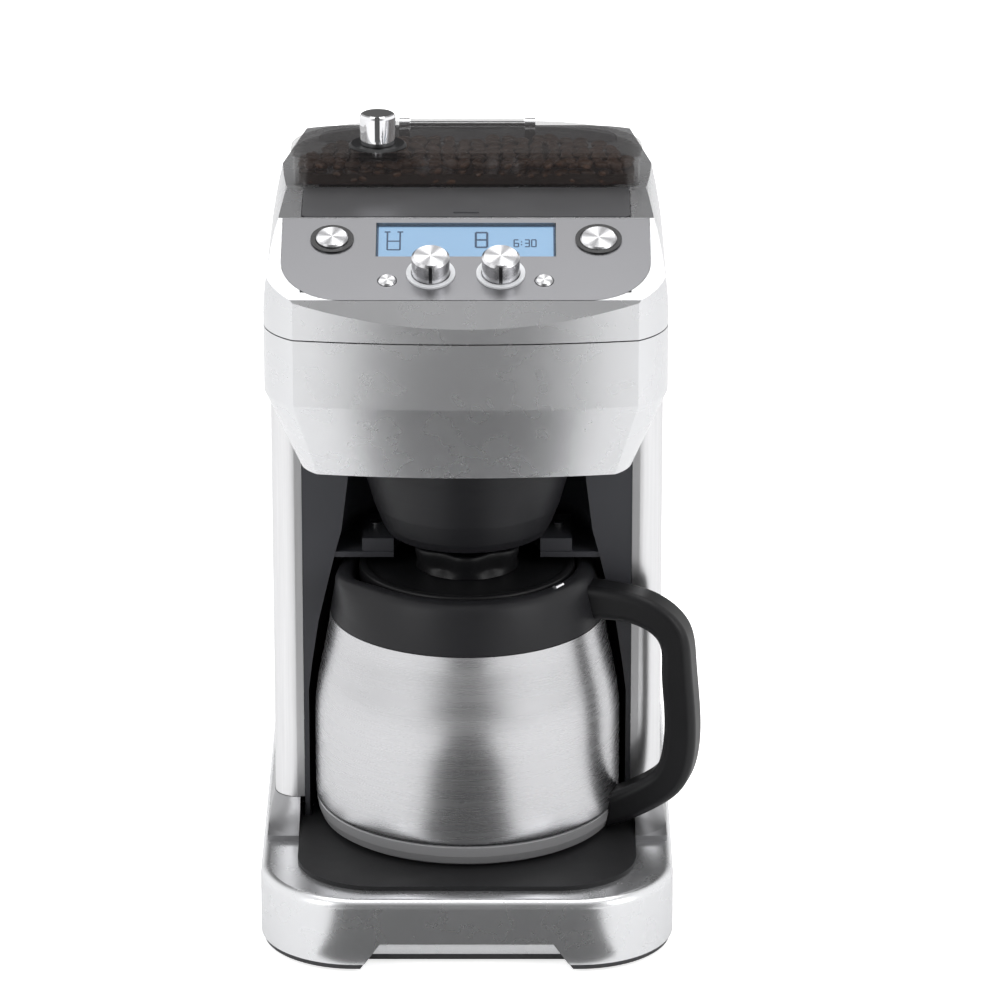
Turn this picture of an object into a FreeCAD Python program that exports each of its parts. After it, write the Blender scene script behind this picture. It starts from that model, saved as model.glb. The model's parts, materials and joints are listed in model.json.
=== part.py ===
"""Drip coffee maker with a built-in bean grinder and a thermal carafe, as a parametric FreeCAD document.

Frame: +Z up, the front faces -Y, +X is to the right of someone who stands in front of the machine.
The origin is on the counter, under the middle of the base. All sizes are in millimetres.
The driving sizes are in the spreadsheet "Dims"; every other size is worked out from them.
"""
import FreeCAD, Part
import math
import os
import Sketcher

from FreeCAD import Placement, Rotation, Vector

doc = FreeCAD.newDocument("drip_coffee_maker")
sheet = doc.addObject("Spreadsheet::Sheet", "Dims")

DRIVING_SIZES = [
    ("machine_width", 216.0, "base, side to side"),
    ("machine_depth", 318.0, "base, front to back"),
    ("wall", 2.6, "moulded walls"),
    ("sheet_steel", 1.4, "side panels"),
    ("running_gap", 0.4, "between pieces that move past each other"),
    ("fit_gap", 0.25, "between pieces that are fastened together"),
    ("foot_height", 2.0, "rubber feet below the tray"),
    ("tray_thickness", 3.0, "bottom tray"),
    ("base_top", 41.0, "top of the base above the counter"),
    ("base_corner", 50.0, "radius of the base's front corners"),
    ("base_rear_corner", 40.0, "radius of the base's rear corners"),
    ("base_edge_round", 5.0, "rounding of the base's top edge"),
    ("base_skin", 5.0, "thickness of the base's top"),
    ("notch_top_width", 90.0, "front notch at its top"),
    ("notch_slope", 11.0, "sideways run of each notch flank"),
    ("notch_height", 11.5, "height of the front notch"),
    ("mat_setback", 13.0, "base front to the mat"),
    ("mat_width", 177.4, "carafe mat"),
    ("mat_corner", 42.0, "front corners of the mat"),
    ("mat_thickness", 2.5, "carafe mat"),
    ("tower_width", 204.8, "over the side panels"),
    ("tower_setback", 109.0, "base front to the tower's front"),
    ("tower_rear_inset", 6.0, "base rear to the tower's rear"),
    ("tower_corner", 12.0, "front corners of the tower"),
    ("tower_rear_corner", 42.0, "rear corners of the tower"),
    ("skirt_height", 13.0, "flared foot of the tower"),
    ("skirt_toe", 30.0, "how far the foot runs forward on the base"),
    ("side_taper", 9.4, "how far each side comes in over 100 mm of depth, at the top of the tower"),
    ("shoulder_start", 338.0, "height where the sides start to round in"),
    ("shoulder_rise", 50.0, "height of the rounded shoulder"),
    ("shoulder_inset", 13.5, "how far the shoulder comes in"),
    ("liner_width", 173.0, "dark front between the steel panels"),
    ("bay_radius", 84.0, "carafe bay"),
    ("bay_ceiling", 189.5, "underside of the shelf above the carafe"),
    ("shelf_thickness", 3.0, "shelf above the carafe"),
    ("funnel_bay_radius", 62.5, "recess behind the brew funnel"),
    ("head_width", 206.0, "brew head"),
    ("head_setback", 19.0, "base front to the head's front"),
    ("head_bottom", 258.0, "lower rim of the head"),
    ("head_crease", 302.0, "where the head starts to taper in"),
    ("head_seam", 337.0, "joint between drawer and head"),
    ("head_brow", 345.0, "top of the head's upright front"),
    ("head_bow", 10.0, "bulge of the head's front"),
    ("head_corner", 38.0, "front corners of the head"),
    ("head_rim_inset", 18.0, "taper at the sides of the lower rim"),
    ("head_rim_setback", 22.0, "taper at the front of the lower rim"),
    ("panel_tilt", 21.0, "slope of the control panel, degrees"),
    ("panel_front_setback", 8.0, "head front to the control panel"),
    ("panel_front_height", 358.1, "front edge of the control panel"),
    ("panel_length", 66.6, "control panel along its slope"),
    ("panel_width", 187.0, "control panel"),
    ("panel_corner", 31.0, "front corners of the control panel"),
    ("panel_thickness", 2.4, "control panel"),
    ("lcd_width", 91.0, "display window"),
    ("lcd_height", 27.0, "display window, along the slope"),
    ("dial_radius", 9.6, "control dials"),
    ("dial_height", 12.0, "control dials"),
    ("dial_flange", 12.4, "flange of the control dials"),
    ("dial_pitch", 35.4, "between the two dials"),
    ("menu_radius", 8.2, "left round button"),
    ("start_radius", 9.3, "right round button"),
    ("small_button_radius", 4.6, "small buttons"),
    ("button_travel", 1.5, "stroke of the push buttons"),
    ("deck_front_rise", 4.6, "rise from the panel to the hopper"),
    ("deck_fall", 20.6, "fall of the deck from the hopper to the rear"),
    ("hopper_setback", 128.0, "base front to the hopper"),
    ("hopper_width", 182.0, "hopper lid"),
    ("hopper_depth", 80.0, "hopper lid, front to back"),
    ("hopper_lid_height", 405.0, "front edge of the lid's top"),
    ("hopper_wall", 2.2, "clear plastic"),
    ("hopper_sink", 20.0, "depth of the hopper below the deck"),
    ("knob_offset", -46.0, "grind knob, left of the middle"),
    ("knob_setback", 143.0, "base front to the grind knob"),
    ("knob_radius", 9.0, "grind knob"),
    ("knob_top", 422.0, "top of the grind knob"),
    ("knob_flange", 15.0, "dished flange under the knob"),
    ("drawer_travel", 110.0, "how far the brew drawer pulls out"),
    ("funnel_radius", 43.0, "bottom edge of the brew funnel"),
    ("funnel_rim_radius", 57.0, "rim of the brew funnel"),
    ("funnel_bottom", 204.0, "underside of the brew funnel"),
    ("funnel_rim", 300.0, "rim of the brew funnel"),
    ("filter_radius", 53.0, "filter basket rim"),
    ("filter_top", 302.0, "top of the filter basket"),
    ("valve_travel", 3.0, "stroke of the drip stop"),
    ("carafe_setback", 115.0, "base front to the carafe's axis"),
    ("carafe_radius", 80.6, "widest part of the carafe"),
    ("carafe_neck_radius", 72.0, "top edge of the steel jacket"),
    ("carafe_foot_radius", 78.2, "foot of the steel jacket"),
    ("carafe_neck_height", 159.0, "top edge of the steel jacket"),
    ("carafe_band", 13.0, "height of the foot band"),
    ("collar_rim_radius", 66.0, "top of the black collar"),
    ("collar_top", 185.6, "top of the black collar"),
    ("carafe_turn", 15.0, "handle turned towards the front, degrees"),
    ("grip_radius", 29.5, "grip on the carafe lid"),
    ("grip_top", 198.0, "top of the lid's grip"),
    ("handle_width", 17.5, "handle, seen from the side"),
    ("handle_depth", 19.0, "handle, across"),
]

for row, (alias, number, note) in enumerate(DRIVING_SIZES, start=1):
    sheet.set(f"A{row}", str(number))
    sheet.setAlias(f"A{row}", alias)
    sheet.set(f"B{row}", note)
doc.recompute()


# ---------------------------------------------------------------- sizes that know their formula

class Size:
    """A number together with the spreadsheet formula that gives it."""

    def __init__(self, number, formula):
        self.number = float(number)
        self.formula = formula

    def _with(self, other, sign, number, swapped=False):
        other_formula = other.formula if isinstance(other, Size) else repr(float(other))
        first, second = (other_formula, self.formula) if swapped else (self.formula, other_formula)
        return Size(number, f"({first} {sign} {second})")

    def __add__(self, other):
        return self._with(other, "+", self.number + plain(other))

    def __radd__(self, other):
        return self._with(other, "+", plain(other) + self.number, swapped=True)

    def __sub__(self, other):
        return self._with(other, "-", self.number - plain(other))

    def __rsub__(self, other):
        return self._with(other, "-", plain(other) - self.number, swapped=True)

    def __mul__(self, other):
        return self._with(other, "*", self.number * plain(other))

    def __rmul__(self, other):
        return self._with(other, "*", plain(other) * self.number, swapped=True)

    def __truediv__(self, other):
        return self._with(other, "/", self.number / plain(other))

    def __neg__(self):
        return Size(-self.number, f"(0 - {self.formula})")


def plain(size):
    """The bare number of a Size or of a number."""
    return size.number if isinstance(size, Size) else float(size)


def formula_of(size):
    """The spreadsheet formula of a Size or of a number."""
    return size.formula if isinstance(size, Size) else repr(float(size))


def dim(alias):
    """A driving size from the sheet."""
    return Size(sheet.get(alias), f"Dims.{alias}")


def sine(degrees):
    return Size(math.sin(math.radians(plain(degrees))), f"sin({formula_of(degrees)} * 1 deg)")


def cosine(degrees):
    return Size(math.cos(math.radians(plain(degrees))), f"cos({formula_of(degrees)} * 1 deg)")


# ---------------------------------------------------------------- helpers that make features

def bind(feature, prop, size):
    """Binds a property of a feature to the sheet."""
    feature.setExpression(prop, formula_of(size))


def place(feature, x=0.0, y=0.0, z=0.0, turn=None):
    """Puts a feature at a point that follows the sheet, with a fixed or sheet-driven turn."""
    if turn is not None:
        feature.Placement = Placement(Vector(plain(x), plain(y), plain(z)), turn)
    for axis, size in (("x", x), ("y", y), ("z", z)):
        bind(feature, f"Placement.Base.{axis}", size)
    return feature


def box(name, x0, x1, y0, y1, z0, z1):
    made = doc.addObject("Part::Box", name)
    bind(made, "Length", x1 - x0)
    bind(made, "Width", y1 - y0)
    bind(made, "Height", z1 - z0)
    return place(made, x0, y0, z0)


ALONG_Y = Rotation(Vector(1, 0, 0), -90)
ALONG_X = Rotation(Vector(0, 1, 0), 90)


def cylinder(name, radius, length, x, y, z, turn=None):
    """A cylinder that starts at a point and runs along +Z, or along another axis when turned."""
    made = doc.addObject("Part::Cylinder", name)
    bind(made, "Radius", radius)
    bind(made, "Height", length)
    return place(made, x, y, z, turn)


def cone(name, start_radius, end_radius, length, x, y, z, turn=None):
    made = doc.addObject("Part::Cone", name)
    bind(made, "Radius1", start_radius)
    bind(made, "Radius2", end_radius)
    bind(made, "Height", length)
    return place(made, x, y, z, turn)


def fuse(name, *shapes):
    made = doc.addObject("Part::MultiFuse", name)
    made.Shapes = list(shapes)
    return made


def cut(name, base, *tools):
    made = doc.addObject("Part::Cut", name)
    made.Base = base
    made.Tool = tools[0] if len(tools) == 1 else fuse(name + "_tools", *tools)
    return made


def common(name, first, second):
    made = doc.addObject("Part::Common", name)
    made.Base = first
    made.Tool = second
    return made


def group(name, shapes):
    """Several separate solids in one node."""
    made = doc.addObject("Part::Compound", name)
    made.Links = list(shapes)
    return made


def freeform(name, shape):
    """A feature whose shape comes from Part's own functions, for lofts and curved outlines."""
    made = doc.addObject("Part::Feature", name)
    made.Shape = shape
    return made


def origin_plane(body, role):
    return next(f for f in body.Origin.OriginFeatures if f.Role == role)


def new_sketch(body, role):
    made = body.newObject("Sketcher::SketchObject", body.Name + "_sketch")
    made.AttachmentSupport = [(origin_plane(body, role), "")]
    made.MapMode = "FlatFace"
    return made


def draw_outline(sketch, corners):
    """A closed outline of straight lines, with every corner held to the sheet."""
    points = [Vector(plain(a), plain(b), 0) for a, b in corners]
    count = len(points)
    for i in range(count):
        sketch.addGeometry(Part.LineSegment(points[i], points[(i + 1) % count]), False)
    for i in range(count):
        sketch.addConstraint(Sketcher.Constraint("Coincident", i, 2, (i + 1) % count, 1))
    for i, (across, up) in enumerate(corners):
        for kind, size in (("DistanceX", across), ("DistanceY", up)):
            index = sketch.addConstraint(Sketcher.Constraint(kind, -1, 1, i, 1, plain(size)))
            sketch.setExpression(f"Constraints[{index}]", formula_of(size))


def turned(name, corners, x=0.0, y=0.0, z=0.0):
    """A turned piece: its half section (radius, height) goes round a vertical axis."""
    body = doc.addObject("PartDesign::Body", name)
    sketch = new_sketch(body, "XZ_Plane")
    draw_outline(sketch, corners)
    spun = body.newObject("PartDesign::Revolution", name + "_turn")
    spun.Profile = sketch
    spun.ReferenceAxis = (sketch, ["V_Axis"])
    spun.Angle = 360
    place(body, x, y, z)
    return body


def prism(name, corners, length, role="YZ_Plane"):
    """A straight block of a given outline, centred on the plane of the outline."""
    body = doc.addObject("PartDesign::Body", name)
    sketch = new_sketch(body, role)
    draw_outline(sketch, corners)
    pad = body.newObject("PartDesign::Pad", name + "_pad")
    pad.Profile = sketch
    pad.SideType = "Symmetric"
    bind(pad, "Length", length)
    return body


def round_edges(body, radius, wanted):
    """Rounds the edges of a body's last feature that a test picks."""
    doc.recompute()
    last = body.Tip
    names = [f"Edge{i}" for i, edge in enumerate(last.Shape.Edges, start=1) if wanted(edge)]
    made = body.newObject("PartDesign::Fillet", f"{last.Name}_round")
    made.Base = (last, names)
    bind(made, "Radius", radius)
    body.Tip = made
    return body


def is_upright(edge):
    ends = [v.Point for v in edge.Vertexes]
    return len(ends) == 2 and (ends[0] - ends[1]).cross(Vector(0, 0, 1)).Length < 1e-6


def rounded_block(name, x0, x1, y0, y1, z0, z1, front_corner, rear_corner=None, top_round=None):
    """An upright block with rounded front corners, and rounded rear corners and top edge if asked."""
    body = doc.addObject("PartDesign::Body", name)
    sketch = new_sketch(body, "XY_Plane")
    draw_outline(sketch, [(x0, y0), (x1, y0), (x1, y1), (x0, y1)])
    pad = body.newObject("PartDesign::Pad", name + "_pad")
    pad.Profile = sketch
    bind(pad, "Length", z1 - z0)
    middle = (plain(y0) + plain(y1)) / 2
    round_edges(body, front_corner, lambda e: is_upright(e) and e.CenterOfMass.y < middle)
    if rear_corner is not None:
        round_edges(body, rear_corner, lambda e: is_upright(e) and e.CenterOfMass.y > middle)
    if top_round is not None:
        top = plain(z1 - z0)
        round_edges(body, top_round, lambda e: all(abs(v.Z - top) < 1e-6 for v in e.Vertexes))
    place(body, 0.0, 0.0, z0)
    return body


NODES = []


def node(feature, label=None):
    """Marks a feature as a sub-part of the machine, exported under its label."""
    if label is not None:
        feature.Label = label
    NODES.append(feature)
    return feature


# ---------------------------------------------------------------- reference positions

wall, skin = dim("wall"), dim("base_skin")
gap, fit = dim("running_gap"), dim("fit_gap")
half_base = dim("machine_width") / 2
front, rear = -(dim("machine_depth") / 2), dim("machine_depth") / 2
base_top = dim("base_top")
tray_top = dim("foot_height") + dim("tray_thickness")
tower_front, tower_rear = front + dim("tower_setback"), rear - dim("tower_rear_inset")
half_tower, steel = dim("tower_width") / 2, dim("sheet_steel")
tower_foot = base_top + dim("skirt_height")
half_liner = dim("liner_width") / 2
axis_y = front + dim("carafe_setback")
head_front, half_head = front + dim("head_setback"), dim("head_width") / 2
seam = dim("head_seam")
floor_top = seam + dim("shelf_thickness")
panel_front = head_front + dim("panel_front_setback")
tilt = dim("panel_tilt")
panel_rear = panel_front + dim("panel_length") * cosine(tilt)
panel_rear_z = dim("panel_front_height") + dim("panel_length") * sine(tilt)
hopper_front = front + dim("hopper_setback")
deck_z = panel_rear_z + dim("deck_front_rise")
deck_rear_z = deck_z - dim("deck_fall")
hopper_rear = hopper_front + dim("hopper_depth")
taper = plain(dim("side_taper")) / 100
taper_rise = taper * plain(tower_rear) / plain(seam - tower_foot)


def lean_in(name, solid, half_width, inset):
    """Leans both sides in towards the top rear: none at the front or at the tower's foot."""
    wedges = []
    for side, label in ((-1, "left"), (1, "right")):
        outward = Vector(side, taper, taper_rise).normalize()
        turn = Rotation(Vector(1, 0, 0), outward)
        corner = (Vector(side * plain(half_width), 0, plain(seam)) - outward * plain(inset)
                  + turn.multVec(Vector(0, -500, -500)))
        wedge = box(f"{name}_{label}_wedge", 0.0, 60.0, 0.0, 1000.0, 0.0, 1000.0)
        wedges.append(place(wedge, corner.x, corner.y, corner.z, turn))
    return cut(name, solid, *wedges)


# ---------------------------------------------------------------- base

base_block = rounded_block("base_block", -half_base, half_base, front, rear, tray_top, base_top,
                           dim("base_corner"), dim("base_rear_corner"), dim("base_edge_round"))
base_hollow = rounded_block("base_hollow", -half_base + wall, half_base - wall, front + wall,
                            rear - wall, tray_top - 1, base_top - skin,
                            dim("base_corner") - wall, dim("base_rear_corner") - wall)
notch_half = dim("notch_top_width") / 2
notch_top = tray_top + dim("notch_height")
notch_foot = notch_half + dim("notch_slope")
notch_depth = 14.0
notch = prism("notch", [(-notch_foot - 2, -2.0), (-notch_half, notch_top), (notch_half, notch_top),
                        (notch_foot + 2, -2.0)], 2 * notch_depth, "XZ_Plane")
place(notch, 0.0, front, 0.0)
notch_hood = box("notch_hood", -notch_foot - 2, notch_foot + 2, front + 1, front + notch_depth + wall,
                 tray_top, notch_top + wall)
SCREW_SPOTS = [(sx, fy) for sx in (-1, 1) for fy in (-0.55, 0.0, 0.62)]


def at_spots(make, name, spots):
    return [make(f"{name}_{i}", sx * half_base * 0.78, rear * fy)
            for i, (sx, fy) in enumerate(spots, start=1)]


bosses = at_spots(lambda n, x, y: cylinder(n, 4.0, base_top - skin - tray_top + 1, x, y, tray_top),
                  "boss", SCREW_SPOTS)
boss_bores = at_spots(lambda n, x, y: cylinder(n, 1.55, 14.0, x, y, tray_top - 1),
                      "boss_bore", SCREW_SPOTS)
gland_x, gland_z = half_base * 0.5, tray_top + 14
gland_hole = cylinder("gland_hole", 8.0 + fit, 4 * wall, gland_x, rear - 3 * wall, gland_z, ALONG_Y)
tank_y0, tank_y1 = tower_rear - 53, tower_rear - wall - 1.5
tank_z = tower_foot + 6
stands = [box(f"tank_stand_{i}", x, x + 6, tank_y0 + 4, tank_y0 + 30, base_top - 1, tank_z)
          for i, x in enumerate((-84.0, -62.0, 0.0, 76.0))]
node(cut("base_housing_cut", fuse("base_solid", cut("base_hulled", base_block, base_hollow),
                                  notch_hood, *bosses, *stands),
         notch, gland_hole, *boss_bores), "base_housing")

tray_block = rounded_block("tray_block", -half_base + 1.5, half_base - 1.5, front + 1.5, rear - 1.5,
                           dim("foot_height"), tray_top, dim("base_corner") - 1.5,
                           dim("base_rear_corner") - 1.5)
tray_holes = at_spots(lambda n, x, y: cylinder(n, 1.55, 2 * tray_top, x, y, 0.0),
                      "tray_hole", SCREW_SPOTS)
node(cut("tray_cut", tray_block, notch, *tray_holes), "bottom_tray")
screws = at_spots(lambda n, x, y: fuse(
    n, cylinder(n + "_head", 3.0, 1.2, x, y, dim("foot_height") - 1.2),
    cylinder(n + "_shank", 1.5, 14.0, x, y, dim("foot_height") - 0.6)), "tray_screw", SCREW_SPOTS)
node(group("tray_screw_set", screws), "tray_screws")
FOOT_SPOTS = [(sx, fy) for sx in (-1, 1) for fy in (-0.78, 0.84)] + [(0, 0.0)]
feet = [cylinder(f"foot_{i}", 9.0, dim("foot_height"), sx * half_base * 0.58, rear * fy, 0.0)
        for i, (sx, fy) in enumerate(FOOT_SPOTS, start=1)]
node(group("foot_set", feet), "rubber_feet")

half_mat = dim("mat_width") / 2
mat_front = front + dim("mat_setback")


mat_top = base_top + dim("mat_thickness")
node(fuse("mat", rounded_block("mat_front_part", -half_mat, half_mat, mat_front, tower_front - 1,
                               base_top, mat_top, dim("mat_corner")),
          cylinder("mat_back_part", dim("bay_radius") - 1.3, mat_top - base_top, 0.0, axis_y,
                   base_top)), "carafe_mat")

# ---------------------------------------------------------------- tower


def tower_block(name, inset, z0, z1):
    upright = rounded_block(name + "_upright", -half_tower + inset, half_tower - inset,
                            tower_front + inset, tower_rear - inset, z0, z1,
                            dim("tower_corner") - inset, dim("tower_rear_corner") - inset)
    return lean_in(name, upright, half_tower, inset)


side_end = tower_rear - dim("tower_rear_corner") - 4
panel_top = seam - fit
steel_tube = cut("steel_tube", tower_block("steel_outer", 0.0, tower_foot, panel_top),
                 tower_block("steel_inner", steel, tower_foot - 1, panel_top + 1))
for side, x0, x1 in (("left", -half_tower - 1, -half_liner), ("right", half_liner, half_tower + 1)):
    half = common(f"{side}_panel", steel_tube,
                  box(f"{side}_panel_reach", x0, x1, tower_front - 1, side_end,
                      tower_foot - 1, panel_top + 1))
    node(half, f"{side}_side_panel")

rear_tube = cut("rear_tube", tower_block("rear_outer", 0.0, tower_foot, panel_top),
                tower_block("rear_inner", wall, tower_foot - 1, panel_top + 1))
rear_part = common("rear_part", rear_tube,
                   box("rear_reach", -half_tower - 1, half_tower + 1, side_end + fit, tower_rear + 1,
                       tower_foot - 1, panel_top + 1))
window_x, window_half = -(half_tower * 0.45), 7.0
window_z0, window_z1 = tower_foot + 60, seam - 40
window_slot = box("window_slot", window_x - window_half, window_x + window_half, tower_rear - 2 * wall,
                  tower_rear + 1, window_z0, window_z1)
vents = [box(f"vent_{i}", 10.0, 60.0, tower_rear - 2 * wall, tower_rear + 1,
             tower_foot + 16 + 9 * i, tower_foot + 20 + 9 * i) for i in range(5)]
node(cut("rear_cover_cut", rear_part, window_slot, *vents), "rear_cover")
node(box("window_pane", window_x - window_half + fit, window_x + window_half - fit,
         tower_rear - wall - 1.2, tower_rear - 0.6, window_z0 + fit, window_z1 - fit), "level_window")


def rounded_wire(half_width, y0, y1, z, front_radius, rear_radius):
    """A rounded rectangle at a height, for lofts."""
    hw, ya, yb, rf, rr = (plain(v) for v in (half_width, y0, y1, front_radius, rear_radius))
    z = plain(z)

    def arc(cx, cy, radius, start):
        turn = [math.radians(start + step) for step in (0, 45, 90)]
        return Part.Arc(*[Vector(cx + radius * math.cos(t), cy + radius * math.sin(t), z)
                          for t in turn]).toShape()

    arcs = [arc(hw - rf, ya + rf, rf, 270), arc(hw - rr, yb - rr, rr, 0),
            arc(-hw + rr, yb - rr, rr, 90), arc(-hw + rf, ya + rf, rf, 180)]
    edges = []
    for i, here in enumerate(arcs):
        after = arcs[(i + 1) % 4]
        edges += [here, Part.LineSegment(here.Vertexes[-1].Point, after.Vertexes[0].Point).toShape()]
    return Part.Wire(edges)


skirt_plate = 3.0
skirt_front = tower_front - dim("skirt_toe")
flare = Part.makeLoft([
    rounded_wire(half_base - 2.6, skirt_front, rear - 2.6, base_top + skirt_plate, 20, 36),
    rounded_wire(half_base - 3.4, tower_front - 14, rear - 3.2, base_top + 6, 18, 38),
    rounded_wire(half_tower + 0.3, tower_front - 0.3, tower_rear + 0.3, tower_foot - fit,
                 dim("tower_corner"), dim("tower_rear_corner"))], True, False)
skirt_foot = box("skirt_foot", -half_base + 2.6, half_base - 2.6, skirt_front, rear - 44,
                 base_top, base_top + skirt_plate)
skirt_tail = rounded_block("skirt_tail", -half_base + 2.6, half_base - 2.6, rear - 90, rear - 2.6,
                           base_top, base_top + skirt_plate, 1.0, dim("base_rear_corner") - 2.6)
skirt_hole = box("skirt_hole", -half_mat - fit, half_mat + fit,
                 front, tower_front + 4, base_top - 1, tower_foot + 1)
skirt_well = rounded_block("skirt_well", -half_tower + wall, half_tower - wall, tower_front + 2,
                           tower_rear - wall, base_top - 1, tower_foot + 1,
                           dim("tower_corner"), dim("tower_rear_corner") - wall)
node(cut("skirt_cut", fuse("skirt_solid", skirt_foot, skirt_tail, freeform("skirt_flare", flare)),
         skirt_hole, skirt_well), "tower_skirt")

# ---------------------------------------------------------------- bay liner and funnel shelf

bay_profile = [(dim("bay_radius"), 0.0), (dim("bay_radius"), 74.0), (dim("bay_radius") - 2.0, 90.0),
               (dim("bay_radius") - 5.5, 113.0), (dim("bay_radius") - 9.5, 130.0),
               (dim("bay_radius") - 14.0, 149.0), (dim("bay_radius") - 18.0, 164.0),
               (dim("funnel_bay_radius"), 192.0)]
liner_top = seam - fit


def bay_turned(name, grow, z0, z1):
    """The hollow of the bay as a turned solid, widened by the wall where asked."""
    steps = [(r + grow, base_top + h if h else z0) for r, h in bay_profile]
    return turned(name, [(0.0, z0)] + steps + [(steps[-1][0], z1), (0.0, z1)], 0.0, axis_y, 0.0)


liner_reach = box("liner_reach", -half_liner + fit, half_liner - fit, tower_front, tower_rear,
                  base_top, liner_top)
liner_flange = box("liner_flange", -half_liner + fit, half_liner - fit, tower_front,
                   tower_front + wall, base_top, liner_top)
bay_hollow = bay_turned("bay_hollow", 0.0, base_top - 1, liner_top + 1)
liner_back = common("liner_back", bay_turned("bay_outer", wall, base_top, liner_top), liner_reach)

ceiling = dim("bay_ceiling")
shelf_z = ceiling + dim("shelf_thickness")
slot_half = dim("grip_radius") + 9
shelf_radius = dim("bay_radius") - 12.0


def clear_of_grip(name, solid, z0, z1):
    """Opens a slot to the front, so the lid of the carafe can pass."""
    return cut(name, solid, cylinder(name + "_slot", slot_half, z1 - z0, 0.0, axis_y, z0),
               box(name + "_way", -slot_half, slot_half, axis_y - 60, axis_y, z0, z1))


shelf_disc = common("shelf_disc", cylinder("shelf_round", shelf_radius, shelf_z - ceiling, 0.0,
                                           axis_y, ceiling),
                    box("shelf_reach", -half_liner, half_liner, tower_front + 1, tower_rear,
                        ceiling, shelf_z))
shelf = clear_of_grip("funnel_shelf", shelf_disc, ceiling - 1, shelf_z + 1)
node(fuse("liner_with_shelf", cut("liner_cut", fuse("liner_solid", liner_back, liner_flange),
                                  bay_hollow), shelf), "bay_liner")
bar_half, bar_rear, bar_top = 55.0, axis_y + 34, shelf_z + 7
bar = box("bar_block", -bar_half, bar_half, tower_front + 2, bar_rear, shelf_z, bar_top)
bar_holes = [cylinder(f"bar_hole_{i}", 1.55, 20.0, s * (bar_half - 7), axis_y + 18, shelf_z - 6)
             for i, s in enumerate((-1, 1))]
node(cut("bar_cut", clear_of_grip("bar_open", bar, shelf_z - 1, bar_top + 1), *bar_holes),
     "funnel_support_bar")
bar_screws = [fuse(f"bar_screw_{i}",
                   cylinder(f"bar_screw_head_{i}", 3.0, 1.6, s * (bar_half - 7), axis_y + 18, bar_top),
                   cylinder(f"bar_screw_shank_{i}", 1.5, 6.6, s * (bar_half - 7), axis_y + 18,
                            bar_top - 6)) for i, s in enumerate((-1, 1))]
node(group("bar_screw_set", bar_screws), "support_bar_screws")

# ---------------------------------------------------------------- brew head

SHOULDER_STEPS = 10
lid_fall = dim("hopper_depth") * 0.079
lid_plate = 2.6


def plan_block(name, half_width, y0, y1, z0, z1, corner, rear_corner, bow):
    """An upright block with rounded corners and a front that bulges a little."""
    block = rounded_block(name + "_block", -half_width, half_width, y0, y1, z0, z1, corner,
                          rear_corner)
    radius = (half_width * half_width + bow * bow) / (2 * bow)
    return common(name, block, cylinder(name + "_bow", radius, z1 - z0, 0.0, y0 + radius, z0))


def head_solid(name, inset, top, z0):
    """The head's outer form, moved inwards by an inset, and by another at the top."""
    plan = plan_block(name + "_plan", half_head - inset, head_front + inset, tower_rear - inset,
                      z0, deck_z + 20, dim("head_corner") - inset,
                      dim("tower_rear_corner") - inset, dim("head_bow"))
    side = prism(name + "_side", [
        (head_front + inset - 1, z0 - 1), (head_front + inset - 1, dim("head_brow") - inset / 2),
        (head_front + inset, dim("head_brow") - inset / 2),
        (panel_front + inset, dim("panel_front_height") - top), (panel_rear, panel_rear_z - top),
        (hopper_front, deck_z - top), (tower_rear, deck_rear_z - top), (tower_rear + 1, z0 - 1)],
        2 * half_head)
    edge_x, start = half_head - inset, dim("shoulder_start")
    arc = []
    for i in range(SHOULDER_STEPS + 1):
        t = math.pi / 2 * i / SHOULDER_STEPS
        arc.append((edge_x - dim("shoulder_inset") * (1 - math.cos(t)),
                    start + dim("shoulder_rise") * math.sin(t)))
    arc.append((arc[-1][0], deck_z + 21))
    section = prism(name + "_section",
                    [(-edge_x, z0 - 1)] + [(-x, z) for x, z in arc] + arc[::-1] + [(edge_x, z0 - 1)],
                    3 * dim("machine_depth"), "XZ_Plane")
    return lean_in(name, common(name + "_cross", common(name + "_long", plan, side), section),
                   half_head, inset)


head_z0 = seam + fit
top_skin = wall + 2.8


class Slope:
    """A sloping top face: points are given as across, up the slope and above its surface."""

    def __init__(self, y, z, degrees):
        self.y, self.z, self.degrees = y, z, degrees
        self.turn = Rotation(Vector(1, 0, 0), plain(degrees))

    def point(self, across, along, above):
        return (across, self.y + along * cosine(self.degrees) - above * sine(self.degrees),
                self.z + along * sine(self.degrees) + above * cosine(self.degrees))

    def box(self, name, x0, x1, y0, y1, z0, z1):
        made = box(name, x0, x1, y0, y1, z0, z1)
        return place(made, *self.point(x0, y0, z0), self.turn)

    def disc(self, name, radius, across, along, z0, z1):
        return cylinder(name, radius, z1 - z0, *self.point(across, along, z0), self.turn)

    def cone(self, name, start, end, across, along, z0, z1):
        return cone(name, start, end, z1 - z0, *self.point(across, along, z0), self.turn)

    def pin(self, name, radius, x0, x1, along, above):
        return cylinder(name, radius, x1 - x0, *self.point(x0, along, above), ALONG_X)

    def block(self, name, half_width, y0, y1, z0, z1, corner, rear_corner=None):
        made = rounded_block(name, -half_width, half_width, y0, y1, z0, z1, corner, rear_corner)
        return place(made, *self.point(0.0, 0.0, z0), self.turn)


def slope_between(y0, z0, y1, z1):
    rise, run = plain(z1 - z0), plain(y1 - y0)
    return Slope(y0, z0, math.degrees(math.atan2(rise, run)))


panel_slope = Slope(panel_front, dim("panel_front_height"), tilt)
cover_slope = slope_between(panel_rear, panel_rear_z, hopper_front, deck_z)
rear_slope = slope_between(hopper_front, deck_z, tower_rear, deck_rear_z)

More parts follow.
